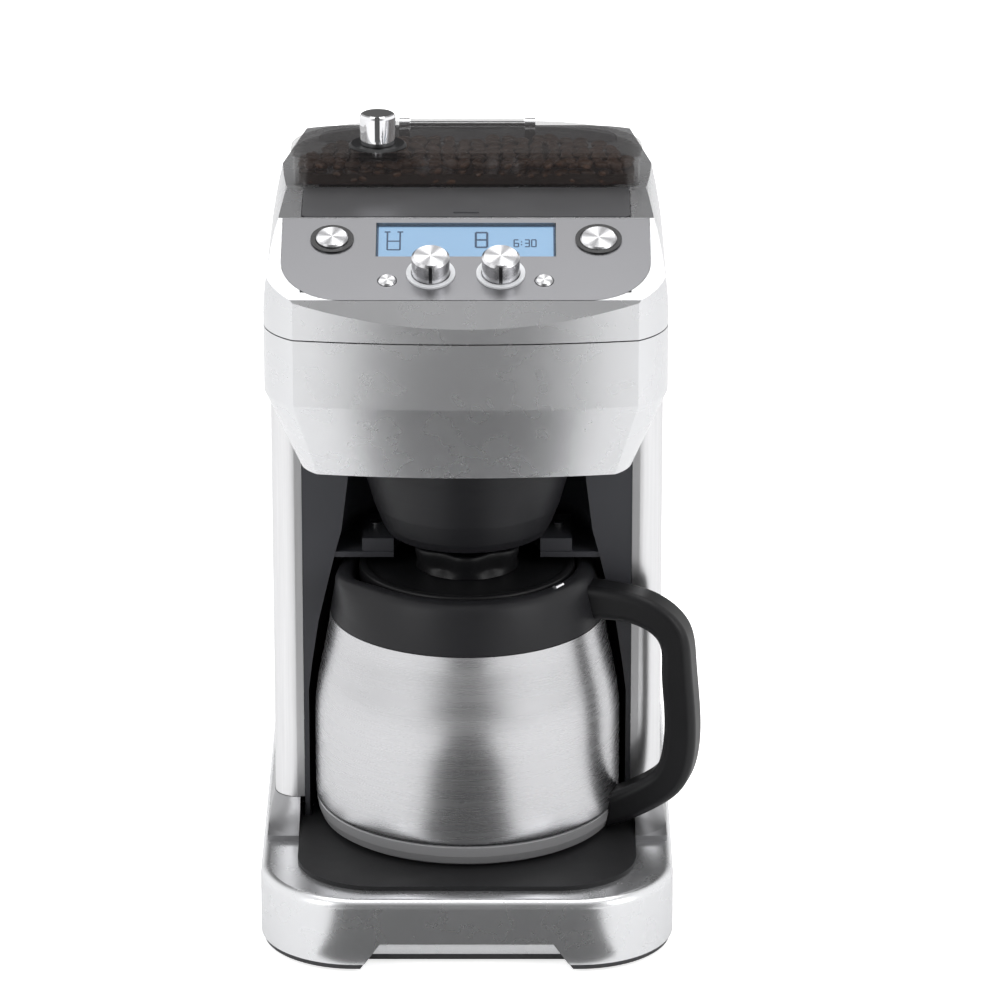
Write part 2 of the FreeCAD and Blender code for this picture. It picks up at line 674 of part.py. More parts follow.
half_panel, panel_t = dim("panel_width") / 2, dim("panel_thickness")
panel_end = dim("panel_length") - 0.4
panel_recess = panel_slope.block("panel_recess", half_panel + fit, -fit, panel_end + fit, -panel_t,
                                 8.0, dim("panel_corner") + fit)
panel_window = panel_slope.box("panel_window", -half_panel + 10, half_panel - 10, 6.0,
                               panel_end - 2, -24.0, 1.0)

cover_length = (hopper_front - panel_rear) / plain(cosine(cover_slope.degrees))
cover_half, cover_y0, cover_y1, cover_top, cover_under = 84.0, 1.2, cover_length - 1.6, 0.4, -2.2
cover_recess = cover_slope.box("cover_recess", -cover_half - gap, cover_half + gap, cover_y0 - gap,
                               cover_length + 0.3, cover_under - gap, 6.0)
cover_way = cover_slope.box("cover_way", -60.0, 60.0, 6.0, cover_length - 7, -16.0, 1.0)
cover_hinge_y, hinge_z = cover_y1 - 0.9, -0.9
hinge_pin, hinge_hole = 0.9, 0.96
cover_sockets = cover_slope.pin("cover_sockets", hinge_hole, -cover_half - 3.4, cover_half + 3.4,
                                cover_hinge_y, hinge_z)

hopper_half = dim("hopper_width") / 2
low_half, low_y0, low_y1 = hopper_half - 12, hopper_front + 5, hopper_rear - 3
hopper_low_z = deck_z - dim("hopper_sink")
hopper_hole = rounded_block("hopper_hole", -low_half - fit, low_half + fit, low_y0 - fit,
                            low_y1 + fit, hopper_low_z - 12, deck_z + 20, 6.0 + fit, 46.0 + fit)

lid_half, tank_lid_y0 = 80.0, tank_y0 - hopper_front + 2
tank_lid_y1 = tank_lid_y0 + 43
tank_recess = rear_slope.block("tank_recess", lid_half + gap, tank_lid_y0 - 1.2, tank_lid_y1 + gap,
                               cover_under - gap, 6.0, 3.0, 26.0 + gap)
tank_way = rear_slope.block("tank_way", lid_half - 5, tank_lid_y0 + 6, tank_lid_y1 - 5, -40.0, 1.0,
                            6.0, 22.0)
tank_hinge_y = tank_lid_y0 + 0.9
tank_sockets = rear_slope.pin("tank_sockets", hinge_hole, -lid_half - 3.4, lid_half + 3.4,
                              tank_hinge_y, hinge_z)

lid_hinge_y, lid_hinge_z = hopper_rear + 4.5, dim("hopper_lid_height") - lid_fall - 3
ear_x0, ear_x1 = 30.4, 36.0


def lid_ears(name, radius):
    """The two hinge posts that stand on the deck behind the bean hopper."""
    made = []
    for side in (-1, 1):
        x0 = min(side * ear_x0, side * ear_x1)
        made += [cylinder(f"{name}_{side + 1}_eye", radius, ear_x1 - ear_x0, x0, lid_hinge_y,
                          lid_hinge_z, ALONG_X),
                 box(f"{name}_{side + 1}_post", x0, x0 + ear_x1 - ear_x0, lid_hinge_y - radius,
                     lid_hinge_y + radius, deck_z - 14, lid_hinge_z)]
    return made


head_outer = head_solid("head_outer", 0.0, 0.0, head_z0)
head_inner = head_solid("head_inner", wall, top_skin, head_z0 - 2)
lid_pin_hole = cylinder("lid_pin_hole", 1.5, 2 * ear_x1 + 2, -ear_x1 - 1, lid_hinge_y, lid_hinge_z,
                        ALONG_X)
node(cut("head_cut", fuse("head_with_ears", cut("head_hulled", head_outer, head_inner),
                          *lid_ears("lid_ear", 3.2)),
         panel_recess, panel_window, cover_recess, cover_way, cover_sockets, hopper_hole,
         tank_recess, tank_way, tank_sockets, lid_pin_hole), "head_housing")
node(cylinder("lid_hinge_rod", 1.5, 2 * ear_x1, -ear_x1, lid_hinge_y, lid_hinge_z, ALONG_X),
     "hopper_lid_hinge_pin")

# head floor: it closes the head from below and carries the grinder
grinder_y = axis_y + 88
chute_half, chute_y0, chute_y1 = 11.5, axis_y + 10, axis_y + 28
shower_y = axis_y - 18
riser_x, riser_y = 55.0, tank_y0 - 26
rail_web, rail_lip, rib_z = 88.0, 96.0, seam - 12
rail_y0, rail_y1 = head_front + 46, tower_front - 3
rails = []
for i, s in enumerate((-1, 1)):
    web = (s * rail_web, s * (rail_web + wall.number))
    rails += [box(f"rail_web_{i}", min(web), max(web), rail_y0, rail_y1, rib_z - 3, floor_top),
              box(f"rail_lip_{i}", min(s * rail_web, s * rail_lip), max(s * rail_web, s * rail_lip),
                  rail_y0, rail_y1, rib_z - 3, rib_z - gap)]
floor_plan = lean_in("floor_plan", plan_block(
    "floor_form", half_head - wall - fit, head_front + wall + fit, tank_y0 - 5, head_z0, floor_top,
    dim("head_corner") - wall, 4.0, dim("head_bow")), half_head, wall + fit)
node(cut("floor_cut", fuse("floor_with_rails", floor_plan, *rails),
         cylinder("shaft_way", 4.0, 9.0, 0.0, grinder_y, head_z0 - 2),
         box("chute_way", -chute_half, chute_half, chute_y0, chute_y1, head_z0 - 2, floor_top + 2),
         cylinder("shower_way", 8.0 + fit, 9.0, 0.0, shower_y, head_z0 - 2),
         cylinder("riser_way", 8.0, 9.0, riser_x, riser_y, head_z0 - 2)), "head_floor")

# ---------------------------------------------------------------- brew drawer

drawer_top, drawer_rear = seam - gap, tower_front - gap
crease, rim_z = dim("head_crease"), dim("head_bottom")
rim_half = half_head - dim("head_rim_inset")
rim_front = head_front + dim("head_rim_setback")


def drawer_solid(name, inset, z0, z1):
    """The drawer's front: upright above the crease, tapered towards the lower rim."""
    upper = plan_block(name + "_upper", half_head - inset, head_front + inset, drawer_rear, crease,
                       z1, dim("head_corner") - inset, None, dim("head_bow"))
    lower = plan_block(name + "_rim", rim_half - inset, rim_front + inset, drawer_rear, rim_z,
                       rim_z + 4, dim("head_corner") - 12 - inset, None, dim("head_bow") * 0.8)
    doc.recompute()
    top_wire = upper.Shape.slice(Vector(0, 0, 1), plain(crease) + 1)[0]
    top_wire.translate(Vector(0, 0, -1))
    rim_wire = lower.Shape.slice(Vector(0, 0, 1), plain(rim_z) + 1)[0]
    rim_wire.translate(Vector(0, 0, plain(z0 - rim_z) - 1))
    taper = freeform(name + "_taper", Part.makeLoft([rim_wire, top_wire], True, True))
    return fuse(name, upper, taper)


floor_z = rim_z + 3
drawer_hull = cut("drawer_hull", drawer_solid("drawer_outer", 0.0, rim_z, drawer_top),
                  drawer_solid("drawer_inner", wall, floor_z, drawer_top + 2))
ribs = [box(f"runner_{i}", min(s * 92.0, s * (plain(half_head) - 1)),
            max(s * 92.0, s * (plain(half_head) - 1)), rail_y0, rail_y1, rib_z, rib_z + 3)
        for i, s in enumerate((-1, 1))]
rim_r, seat_r = dim("funnel_rim_radius"), dim("funnel_rim_radius") + 3.5
node(cut("drawer_cut", fuse("drawer_solid", drawer_hull, *ribs),
         cylinder("funnel_way", rim_r + fit, 12.0, 0.0, axis_y, rim_z - 4)), "drawer_front")
funnel_r, bowl_z, bowl_top = dim("funnel_radius"), dim("funnel_bottom"), dim("funnel_rim")
swell = rim_r - funnel_r
bowl_wall = 2.4
bowl = [(funnel_r - 6, bowl_z), (funnel_r - 1, bowl_z + 1.4), (funnel_r + 1.6, bowl_z + 6),
        (funnel_r + swell * 0.42, bowl_z + 17), (funnel_r + swell * 0.66, bowl_z + 29),
        (funnel_r + swell * 0.86, bowl_z + 41), (rim_r - 0.4, bowl_z + 51)]
stem_r, stem_hole = 3.0, 3.4
node(turned("brew_funnel", [(stem_hole, bowl_z)] + bowl + [
    (rim_r, floor_z), (seat_r, floor_z), (seat_r, floor_z + 2.4), (rim_r, floor_z + 2.4),
    (rim_r, bowl_top), (rim_r - bowl_wall, bowl_top)] +
    [(r - bowl_wall, z + bowl_wall * 0.5) for r, z in bowl[:1:-1]] +
    [(funnel_r - 7, bowl_z + bowl_wall), (stem_hole, bowl_z + bowl_wall)], 0.0, axis_y, 0.0))
basket_r, basket_top, basket_z = dim("filter_radius"), dim("filter_top"), bowl_z + 13
mesh_t = 1.0
node(turned("filter_basket", [
    (0.0, basket_z), (basket_r - 18, basket_z), (basket_r - 16, basket_z + 1.5),
    (basket_r, bowl_top - 0.3), (basket_r, bowl_top), (rim_r - 0.6, bowl_top),
    (rim_r - 0.6, basket_top), (basket_r - mesh_t, basket_top), (basket_r - mesh_t, bowl_top - 0.3),
    (basket_r - 16 - mesh_t, basket_z + 2.2), (basket_r - 18.5, basket_z + mesh_t),
    (0.0, basket_z + mesh_t)], 0.0, axis_y, 0.0))
valve_z = bowl_z + bowl_wall + gap
node(turned("drip_stop", [
    (0.0, bowl_z - 3.4), (stem_r - 0.6, bowl_z - 3.4), (stem_r, bowl_z - 2.8), (stem_r, valve_z),
    (8.0, valve_z), (8.0, valve_z + 1.6), (2.4, valve_z + 2.2), (2.4, valve_z + 3.2),
    (0.0, valve_z + 3.2)], 0.0, axis_y, 0.0))


fold, fold_t, folds = 1.9, 0.8, 6
spring_z0, spring_z1 = valve_z + 2.4, basket_z - 0.2
bellows = [(4.0 + fold * (i % 2), spring_z0 + (spring_z1 - spring_z0) * (i / folds))
           for i in range(folds + 1)]
node(turned("drip_stop_spring", [(r + fold_t, z) for r, z in bellows] + bellows[::-1],
            0.0, axis_y, 0.0))
holes = [cylinder(f"shower_hole_{i}_{j}", 0.9, 6.0, r * math.cos(2 * math.pi * j / n),
                  shower_y + r * math.sin(2 * math.pi * j / n), seam - 10)
         for i, (r, n) in enumerate(((6.5, 6), (13.0, 10), (19.0, 14))) for j in range(n)]
shower = turned("shower_block", [
    (0.0, seam - 9), (22.0, seam - 9), (23.0, seam - 8), (23.0, seam - 3), (10.0, seam - 1.5),
    (8.0, seam - 1), (8.0, floor_top + 5), (3.0, floor_top + 5), (3.0, seam - 4.5),
    (20.5, seam - 4.5), (20.5, seam - 7), (0.0, seam - 7)], 0.0, shower_y, 0.0)
node(cut("shower_cut", shower, *holes), "shower_head")

# ---------------------------------------------------------------- grinder

chamber_r, chamber_top = 30.0, floor_top + 22
node(cut("chamber_cut", turned("chamber", [
    (4.0, floor_top), (chamber_r, floor_top), (chamber_r, chamber_top), (chamber_r - wall, chamber_top),
    (chamber_r - wall, floor_top + 7), (chamber_r - 5.2, floor_top + 7),
    (chamber_r - 5.2, floor_top + 3), (4.0, floor_top + 3)], 0.0, grinder_y, 0.0),
    box("chamber_port", -chute_half, chute_half, grinder_y - chamber_r - 1, grinder_y - 20,
        floor_top + 3.2, floor_top + 11)), "grinder_chamber")
burr_z = floor_top + 3.6
node(turned("lower_burr", [(3.0, burr_z), (22.0, burr_z), (22.0, burr_z + 1), (9.0, burr_z + 14),
                           (3.0, burr_z + 14)], 0.0, grinder_y, 0.0))
node(turned("upper_burr", [(20.6, floor_top + 7), (chamber_r - wall - fit, floor_top + 7),
                           (chamber_r - wall - fit, chamber_top - 1), (14.0, chamber_top - 1),
                           (10.6, burr_z + 14)], 0.0, grinder_y, 0.0))
motor_r, motor_z = 21.0, seam - 76
node(turned("motor_shaft", [(0.0, seam - 20), (2.6, seam - 20), (2.6, burr_z), (2.98, burr_z),
                            (2.98, burr_z + 15), (0.0, burr_z + 16)], 0.0, grinder_y, 0.0))
node(turned("grinder_motor", [(0.0, motor_z), (motor_r - 3, motor_z), (motor_r, motor_z + 4),
                              (motor_r, head_z0), (3.0, head_z0), (3.0, seam - 20.4),
                              (0.0, seam - 20.4)], 0.0, grinder_y, 0.0))
chute_solid = box("chute_outer", -chute_half - 2.5, chute_half + 2.5, chute_y0 - 2.5,
                  grinder_y - 18, floor_top, floor_top + 13.5)
node(cut("chute_cut", chute_solid,
         box("chute_inner", -chute_half, chute_half, chute_y0, grinder_y - 17, floor_top + 2.5,
             floor_top + 11),
         box("chute_drop", -chute_half, chute_half, chute_y0, chute_y1, floor_top - 1, floor_top + 3),
         cylinder("chute_joint", chamber_r + fit, 40.0, 0.0, grinder_y, floor_top - 5)),
     "grounds_chute")

# ---------------------------------------------------------------- bean hopper

hopper_wall, lid_z = dim("hopper_wall"), dim("hopper_lid_height")


def under_slope(name, drop):
    """Everything under the sloping lid line, less a drop."""
    return prism(name, [(hopper_front - 20, hopper_low_z - 20),
                        (hopper_front - 20, lid_z - drop + 20 * 0.079),
                        (hopper_rear + 20, lid_z - drop - lid_fall - 20 * 0.079),
                        (hopper_rear + 20, hopper_low_z - 20)], 4 * hopper_half)


def tray(name, inset, z0, low_z0):
    """The hopper's form: a wide part above the deck and a narrower one below it."""
    wide = rounded_block(name + "_wide", -hopper_half + 1.6 + inset, hopper_half - 1.6 - inset,
                         hopper_front + inset, hopper_rear - inset, z0, deck_z + 25,
                         8.0 - inset, 58.0 - inset)
    low = rounded_block(name + "_low", -low_half + inset, low_half - inset, low_y0 + inset,
                        low_y1 - inset, low_z0, deck_z + 5, 6.0 - inset, 46.0 - inset)
    return fuse(name, wide, low)


outlet_y = grinder_y - 6
throat = cylinder("throat", 9.6, hopper_low_z - chamber_top + 0.7, 0.0, outlet_y, chamber_top + 0.3)
hopper_raw = fuse("hopper_raw", tray("hopper_outer", 0.0, deck_z - 14, hopper_low_z), throat)
deck_solid = cut("deck_solid", head_solid("deck_form", 0.0, 0.0, head_z0 + 26), hopper_hole)
hopper_body = cut("hopper_body", common("hopper_trimmed", hopper_raw,
                                        under_slope("hopper_roof", lid_plate + gap)), deck_solid)
tray_inner = tray("hopper_inner", hopper_wall, deck_z + 0.6, hopper_low_z + hopper_wall)
node(cut("hopper_cut", hopper_body, tray_inner,
         cylinder("outlet", 7.6, 40.0, 0.0, outlet_y, chamber_top - 2)), "bean_hopper")
beans = common("beans_block", tray("beans_form", hopper_wall + 0.3, deck_z + 0.9,
                                   hopper_low_z + hopper_wall + 0.3),
               under_slope("beans_level", lid_plate + gap + 9))
node(beans, "coffee_beans")

lid_shape = cut("lid_shape", common("lid_plate", rounded_block(
    "lid_plan", -hopper_half, hopper_half, hopper_front - 0.6, hopper_rear + 0.4,
    deck_z, lid_z + 10, 9.0, 58.0), under_slope("lid_roof", 0.0)), under_slope("lid_under", lid_plate))
barrel_half = ear_x0 - 0.4
barrel = fuse("lid_barrel", cylinder("barrel_tube", 2.9, 2 * barrel_half, -barrel_half, lid_hinge_y,
                                     lid_hinge_z, ALONG_X),
              box("barrel_web", -barrel_half, barrel_half, hopper_rear - 1, lid_hinge_y,
                  lid_hinge_z + 0.5, lid_hinge_z + 2.7))
knob_x, knob_y = dim("knob_offset"), front + dim("knob_setback")
knob_base = lid_z - 15 * 0.079
node(cut("hopper_lid_cut", fuse("hopper_lid_solid", lid_shape, barrel),
         cylinder("barrel_bore", 1.56, 2 * barrel_half + 2, -barrel_half - 1, lid_hinge_y,
                  lid_hinge_z, ALONG_X),
         cylinder("spindle_way", 3.4, 20.0, knob_x, knob_y, knob_base - 10)), "hopper_lid")
knob_r, flange_r = dim("knob_radius"), dim("knob_flange")
flange_z = knob_base - 1.2
dish = turned("dish", [(3.4, flange_z), (flange_r, flange_z), (flange_r, knob_base + 1.2),
                       (flange_r - 1.2, knob_base + 2.2), (knob_r + 2.5, knob_base + 1.7),
                       (3.4, knob_base + 1.5)], knob_x, knob_y, 0.0)
node(cut("dish_cut", dish, under_slope("dish_under", 0.0)), "knob_dish")
knob_z, knob_top = knob_base + 2.0, dim("knob_top")
pointer_slot = box("pointer_slot", knob_x - 1.3, knob_x + 1.3, knob_y - knob_r - 2, knob_y - knob_r + 1.2,
                   knob_z + 3, knob_top + 1)
knob_form = turned("knob_form", [
    (0.0, knob_base - 6.9), (3.0, knob_base - 6.9), (3.0, knob_z), (knob_r - 0.2, knob_z),
    (knob_r, knob_z + 1), (knob_r + 0.4, knob_top - 1.6), (knob_r - 0.4, knob_top - 0.4),
    (knob_r - 1.2, knob_top), (0.0, knob_top)], knob_x, knob_y, 0.0)
node(cut("knob_cut", knob_form, pointer_slot), "grind_knob")
node(cut("latch_cut", fuse("latch_solid", box("latch_arm", knob_x - 10, knob_x + 10, knob_y - 4,
                                              knob_y + 4, knob_base - 6.4, knob_base - 4.6),
                           cylinder("latch_hub", 5.4, 1.8, knob_x, knob_y, knob_base - 6.4)),
         cylinder("latch_bore", 3.02, 6.0, knob_x, knob_y, knob_base - 8)), "lid_latch")

# ---------------------------------------------------------------- control panel

board_z = -14.0
lcd_y = panel_end - 17.3
key_y, dial_y, small_y = panel_end - 17.6, 21.0, 15.6
menu_x, start_x, small_x = -68.0, 67.4, 39.6
dial_x = dim("dial_pitch") / 2
menu_r, start_r, small_r = dim("menu_radius"), dim("start_radius"), dim("small_button_radius")
dial_r, ring_t = dim("dial_radius"), 1.0
lcd_half, lcd_rise = dim("lcd_width") / 2, dim("lcd_height") / 2
BUTTONS = (("menu_button", menu_x, key_y, menu_r, 2.6), ("start_button", start_x, key_y, start_r, 2.0),
           ("left_small_button", -small_x, small_y, small_r, 1.0),
           ("right_small_button", small_x, small_y, small_r, 1.0))
RINGED = {"menu_button": 2.9, "start_button": 2.6}

panel_plate = panel_slope.block("panel_plate", half_panel, 0.0, panel_end, -panel_t, 0.0,
                                dim("panel_corner"))
panel_holes = [panel_slope.box("lcd_way", -lcd_half - fit, lcd_half + fit, lcd_y - lcd_rise - fit,
                               lcd_y + lcd_rise + fit, -panel_t - 1, 1.0)]
for label, x, y, r, rise in BUTTONS:
    ring = RINGED.get(label, 0.0)
    panel_holes.append(panel_slope.disc(f"{label}_way", r + ring if ring else r + gap, x, y,
                                        -panel_t - 1, 1.0))
for side, s in (("left", -1), ("right", 1)):
    panel_holes.append(panel_slope.disc(f"{side}_dial_way", 3.6, s * dial_x, dial_y,
                                        -panel_t - 1, 1.0))
node(cut("panel_cut", panel_plate, *panel_holes), "control_panel")
node(panel_slope.box("lcd_pane", -lcd_half, lcd_half, lcd_y - lcd_rise, lcd_y + lcd_rise,
                     -panel_t + 0.8, -0.2), "display_window")
lcd_module = panel_slope.box("lcd_module", -lcd_half - 3, lcd_half + 3, lcd_y - lcd_rise - 1,
                             lcd_y + lcd_rise + 1, -panel_t - 4, -panel_t)
lcd_posts = [panel_slope.box(f"lcd_post_{i}", s * 40 - 4, s * 40 + 4, lcd_y - 6, lcd_y + 6,
                             board_z + 1.6, -panel_t - 4) for i, s in enumerate((-1, 1))]
board = panel_slope.box("board_slab", -half_panel + 14, half_panel - 14, 8.0, panel_end - 6,
                        board_z, board_z + 1.6)
switch_top = board_z + 1.6 + 4
switches, rings = [], []
for label, x, y, r, rise in BUTTONS:
    ring = RINGED.get(label)
    under = -panel_t - gap
    stem_z = switch_top + dim("button_travel") + gap
    parts = [panel_slope.disc(f"{label}_cap", r, x, y, under, rise - 0.8),
             panel_slope.cone(f"{label}_crown", r, r - 0.8, x, y, rise - 0.8, rise),
             panel_slope.disc(f"{label}_flange", r + 1.4, x, y, under - 0.8, under),
             panel_slope.disc(f"{label}_stem", 2.2, x, y, stem_z, under)]
    if ring:
        parts[2] = panel_slope.disc(f"{label}_flange", r + ring - 1, x, y, under - 0.8, under)
        outer = panel_slope.disc(f"{label}_ring_outer", r + ring - 0.05, x, y, -panel_t, ring_t)
        rings.append(cut(f"{label}_ring", outer, panel_slope.disc(
            f"{label}_ring_inner", r + gap, x, y, -panel_t - 1, ring_t + 1)))
    node(fuse(f"{label}_solid", *parts), label)
    switches.append(panel_slope.box(f"{label}_switch", x - 3, x + 3, y - 3, y + 3, board_z + 1.6,
                                    switch_top))
node(group("ring_set", rings), "button_rings")
encoders, scales = [], []
for side, s in (("left", -1), ("right", 1)):
    x = s * dial_x
    outer = panel_slope.disc(f"{side}_scale_outer", dim("dial_flange"), x, dial_y, 0.0, ring_t)
    inner = panel_slope.disc(f"{side}_scale_inner", dial_r + gap, x, dial_y, -1.0, ring_t + 1)
    scales.append(cut(f"{side}_scale", outer, inner))
    high = dim("dial_height")
    knob = fuse(f"{side}_dial_solid",
                panel_slope.disc(f"{side}_dial_body", dial_r, x, dial_y, gap, high - 1.2),
                panel_slope.cone(f"{side}_dial_crown", dial_r, dial_r - 1.2, x, dial_y, high - 1.2,
                                 high),
                panel_slope.disc(f"{side}_dial_shaft", 2.6, x, dial_y, -10.0, gap))
    slot = panel_slope.box(f"{side}_dial_slot", x - 0.9, x + 0.9, dial_y - dial_r - 1,
                           dial_y - dial_r + 1.0, 1.4, high + 1)
    node(cut(f"{side}_dial_cut", knob, slot), f"{side}_dial")
    encoders.append(cut(f"{side}_encoder", panel_slope.box(
        f"{side}_encoder_block", x - 6, x + 6, dial_y - 6, dial_y + 6, board_z + 1.6, -5.0),
        panel_slope.disc(f"{side}_encoder_bore", 2.66, x, dial_y, -10.3, 0.0)))
node(fuse("board_with_parts", board, lcd_module, *lcd_posts, *switches, *encoders),
     "control_board")
node(group("scale_set", scales), "dial_rings")

# ---------------------------------------------------------------- covers on the deck


def hinged_plate(name, slope, half, y0, y1, hinge_along, lip_y, corner):
    plate = slope.block(name + "_plate", half, y0, y1, cover_under, cover_top, 3.0, corner)
    return fuse(name + "_solid", plate,
                slope.pin(name + "_trunnions", hinge_pin, -half - 2.8, half + 2.8, hinge_along, hinge_z),
                slope.box(name + "_lip", -6.5, 6.5, lip_y, lip_y + 2.2, cover_top - 0.2,
                          cover_top + 0.8))


node(hinged_plate("cover", cover_slope, cover_half, cover_y0, cover_y1, cover_hinge_y,
                  cover_y0 + 4, 1.0), "chute_cover")
node(hinged_plate("tank_lid", rear_slope, lid_half, tank_lid_y0, tank_lid_y1, tank_hinge_y,
                  tank_lid_y1 - 7, 26.0), "tank_lid")

# ---------------------------------------------------------------- water side

tank_top = seam - 6
half_tank = half_tower - wall - 3
tank_wall = 2.2


def tank_block(name, inset, z0, z1):
    upright = rounded_block(name + "_upright", -half_tank + inset, half_tank - inset,
                            tank_y0 + inset, tank_y1 - inset, z0, z1, 6.0 - inset,
                            dim("tower_rear_corner") - wall - 1.5 - inset)
    return lean_in(name, upright, half_tower, wall + 3 + inset)


tank = cut("tank_cut", tank_block("tank_outer", 0.0, tank_z, tank_top),
           tank_block("tank_inner", tank_wall, tank_z + tank_wall, tank_top + 1),
           cylinder("tank_outlet", 4.0, 9.0, -40.0, tank_y0 + 16, tank_z - 2))
node(tank, "water_tank")
pump_x, pump_y, pump_top = -riser_x, riser_y, base_top + 62
node(turned("pump_block", [(0.0, base_top), (19.0, base_top), (19.0, base_top + 4),
                           (17.0, base_top + 5), (17.0, pump_top - 6), (14.0, pump_top - 3),
                           (5.0, pump_top - 3), (5.0, pump_top + 3), (0.0, pump_top + 3)],
            pump_x, pump_y, 0.0), "water_pump")
heater_top = base_top + 128
heater = turned("heater_block", [(0.0, base_top), (22.0, base_top), (22.0, base_top + 3),
                             (18.0, base_top + 4), (18.0, heater_top - 4), (14.0, heater_top),
                                  (4.6, heater_top), (4.6, heater_top + 8), (0.0, heater_top + 8)],
                riser_x, riser_y, 0.0)
node(fuse("heater_with_thermostat", heater,
          cylinder("thermostat", 8.0, 8.0, riser_x, riser_y - 24, base_top + 90, ALONG_Y)),
     "water_heater")


def hose(name, points, radius):
    """A soft hose as straight runs that meet in round elbows."""
    runs = []
    for i, (p, q) in enumerate(zip(points, points[1:])):
        start, end = (Vector(*[plain(v) for v in point]) for point in (p, q))
        runs.append(cylinder(f"{name}_run_{i}", radius, (end - start).Length, *p,
                             Rotation(Vector(0, 0, 1), end - start)))
        if i:
            elbow = doc.addObject("Part::Sphere", f"{name}_elbow_{i}")
            bind(elbow, "Radius", radius)
            runs.append(place(elbow, *p))
    return fuse(name, *runs)


hose_z = floor_top + 20
node(hose("heater_hose", [
    (riser_x, riser_y, heater_top + 8), (riser_x, riser_y, hose_z),
    (0.0, shower_y, hose_z), (0.0, shower_y, floor_top + 5)], 5.0))
node(hose("pump_hose", [
    (pump_x, pump_y, pump_top + 3), (pump_x, pump_y, pump_top + 30),
    (0.0, pump_y + 4, pump_top + 30), (0.0, pump_y, base_top + 46),
    (riser_x - 18, riser_y, base_top + 46)], 4.0))
gland = turned("gland_form", [(4.0, -11.0), (8.0, -11.0), (8.0, 0.0), (11.0, 0.0), (11.0, 2.4),
                              (7.0, 3.2), (6.0, 9.0), (4.0, 9.0)])
gland_turn = ALONG_Y
place(gland, gland_x, rear, gland_z, gland_turn)
node(gland, "cord_gland")

# ---------------------------------------------------------------- thermal carafe

can_z = mat_top + gap
belly, neck_r, neck_z = dim("carafe_radius"), dim("carafe_neck_radius"), dim("carafe_neck_height")
foot_r, band_top = dim("carafe_foot_radius"), mat_top + dim("carafe_band")
jacket_t = 1.0
node(turned("carafe_foot", [
    (0.0, can_z), (foot_r - 4, can_z), (foot_r - 0.6, can_z + 2), (foot_r + 1.2, can_z + 6.5),
    (belly - 0.5, band_top - 0.8), (belly - 1.6, band_top), (belly - jacket_t - 0.3, band_top),
    (belly - jacket_t - 0.3, band_top + 4), (belly - jacket_t - 1.2, band_top + 4),
    (belly - jacket_t - 1.2, band_top - 1), (foot_r - 0.4, can_z + 6), (foot_r - 1.6, can_z + 3),
    (foot_r - 5, can_z + 1.2), (0.0, can_z + 1.2)], 0.0, axis_y, 0.0))
rise = neck_z - 101
jacket = [(belly - 0.9, band_top + 0.1), (belly - 0.2, band_top + 1.0), (belly, band_top + 5),
          (belly, 101.0)]
for share, inward in ((0.1, 0.015), (0.2, 0.1), (0.3, 0.2), (0.4, 0.3), (0.49, 0.4), (0.59, 0.51),
                      (0.69, 0.62), (0.79, 0.74), (0.89, 0.865), (1.0, 1.0)):
    jacket.append((belly - (belly - neck_r) * inward, 101 + rise * share))
node(turned("carafe_jacket", jacket + [(r - jacket_t, z) for r, z in jacket[::-1][:-2]] +
            [(belly - 0.2 - jacket_t, band_top + 0.1)], 0.0, axis_y, 0.0))
flask_r, flask_z = belly - 7.6, can_z + 10
throat_r, lip_z = neck_r - 14, neck_z + 17
flask = [(0.0, flask_z), (flask_r - 13, flask_z), (flask_r - 4, flask_z + 4), (flask_r, flask_z + 14),
         (flask_r, flask_z + 56), (flask_r - 4, flask_z + 78), (throat_r + 2, neck_z),
         (throat_r, neck_z + 8), (throat_r, lip_z - 1), (throat_r + 5.4, lip_z - 1),
         (throat_r + 5.4, lip_z), (throat_r - 0.8, lip_z)]
node(turned("inner_flask", flask + [(r - 0.8, z) for r, z in flask[7:3:-1]] +
            [(flask_r - 0.8, flask_z + 14.6), (flask_r - 4.6, flask_z + 4.8),
             (flask_r - 13.2, flask_z + 0.8), (0.0, flask_z + 0.8)], 0.0, axis_y, 0.0))
collar_top, rim_radius = dim("collar_top"), dim("collar_rim_radius")
mouth_r = throat_r - 0.6
collar_high = collar_top - neck_z
collar_out = [(neck_r - 0.2, neck_z), (neck_r - 0.8, neck_z + collar_high * 0.2),
              (neck_r - 2.2, neck_z + collar_high * 0.42), (neck_r - 3.6, neck_z + collar_high * 0.66),
              (rim_radius + 0.8, neck_z + collar_high * 0.82), (rim_radius - 2.2, collar_top - 1.4),
              (rim_radius - 6, collar_top)]
collar_in = [(throat_r + 5.8, collar_top - 3), (throat_r + 5.8, neck_z + collar_high * 0.5),
             (neck_r - 5, neck_z + collar_high * 0.2), (neck_r - 4, neck_z)]
carafe_turn, spout_turn = plain(dim("carafe_turn")), 22.0


def around(radius, degrees):
    """A point at a distance from the carafe's axis, at an angle from +X."""
    return (radius * math.cos(math.radians(degrees)),
            axis_y + radius * math.sin(math.radians(degrees)))


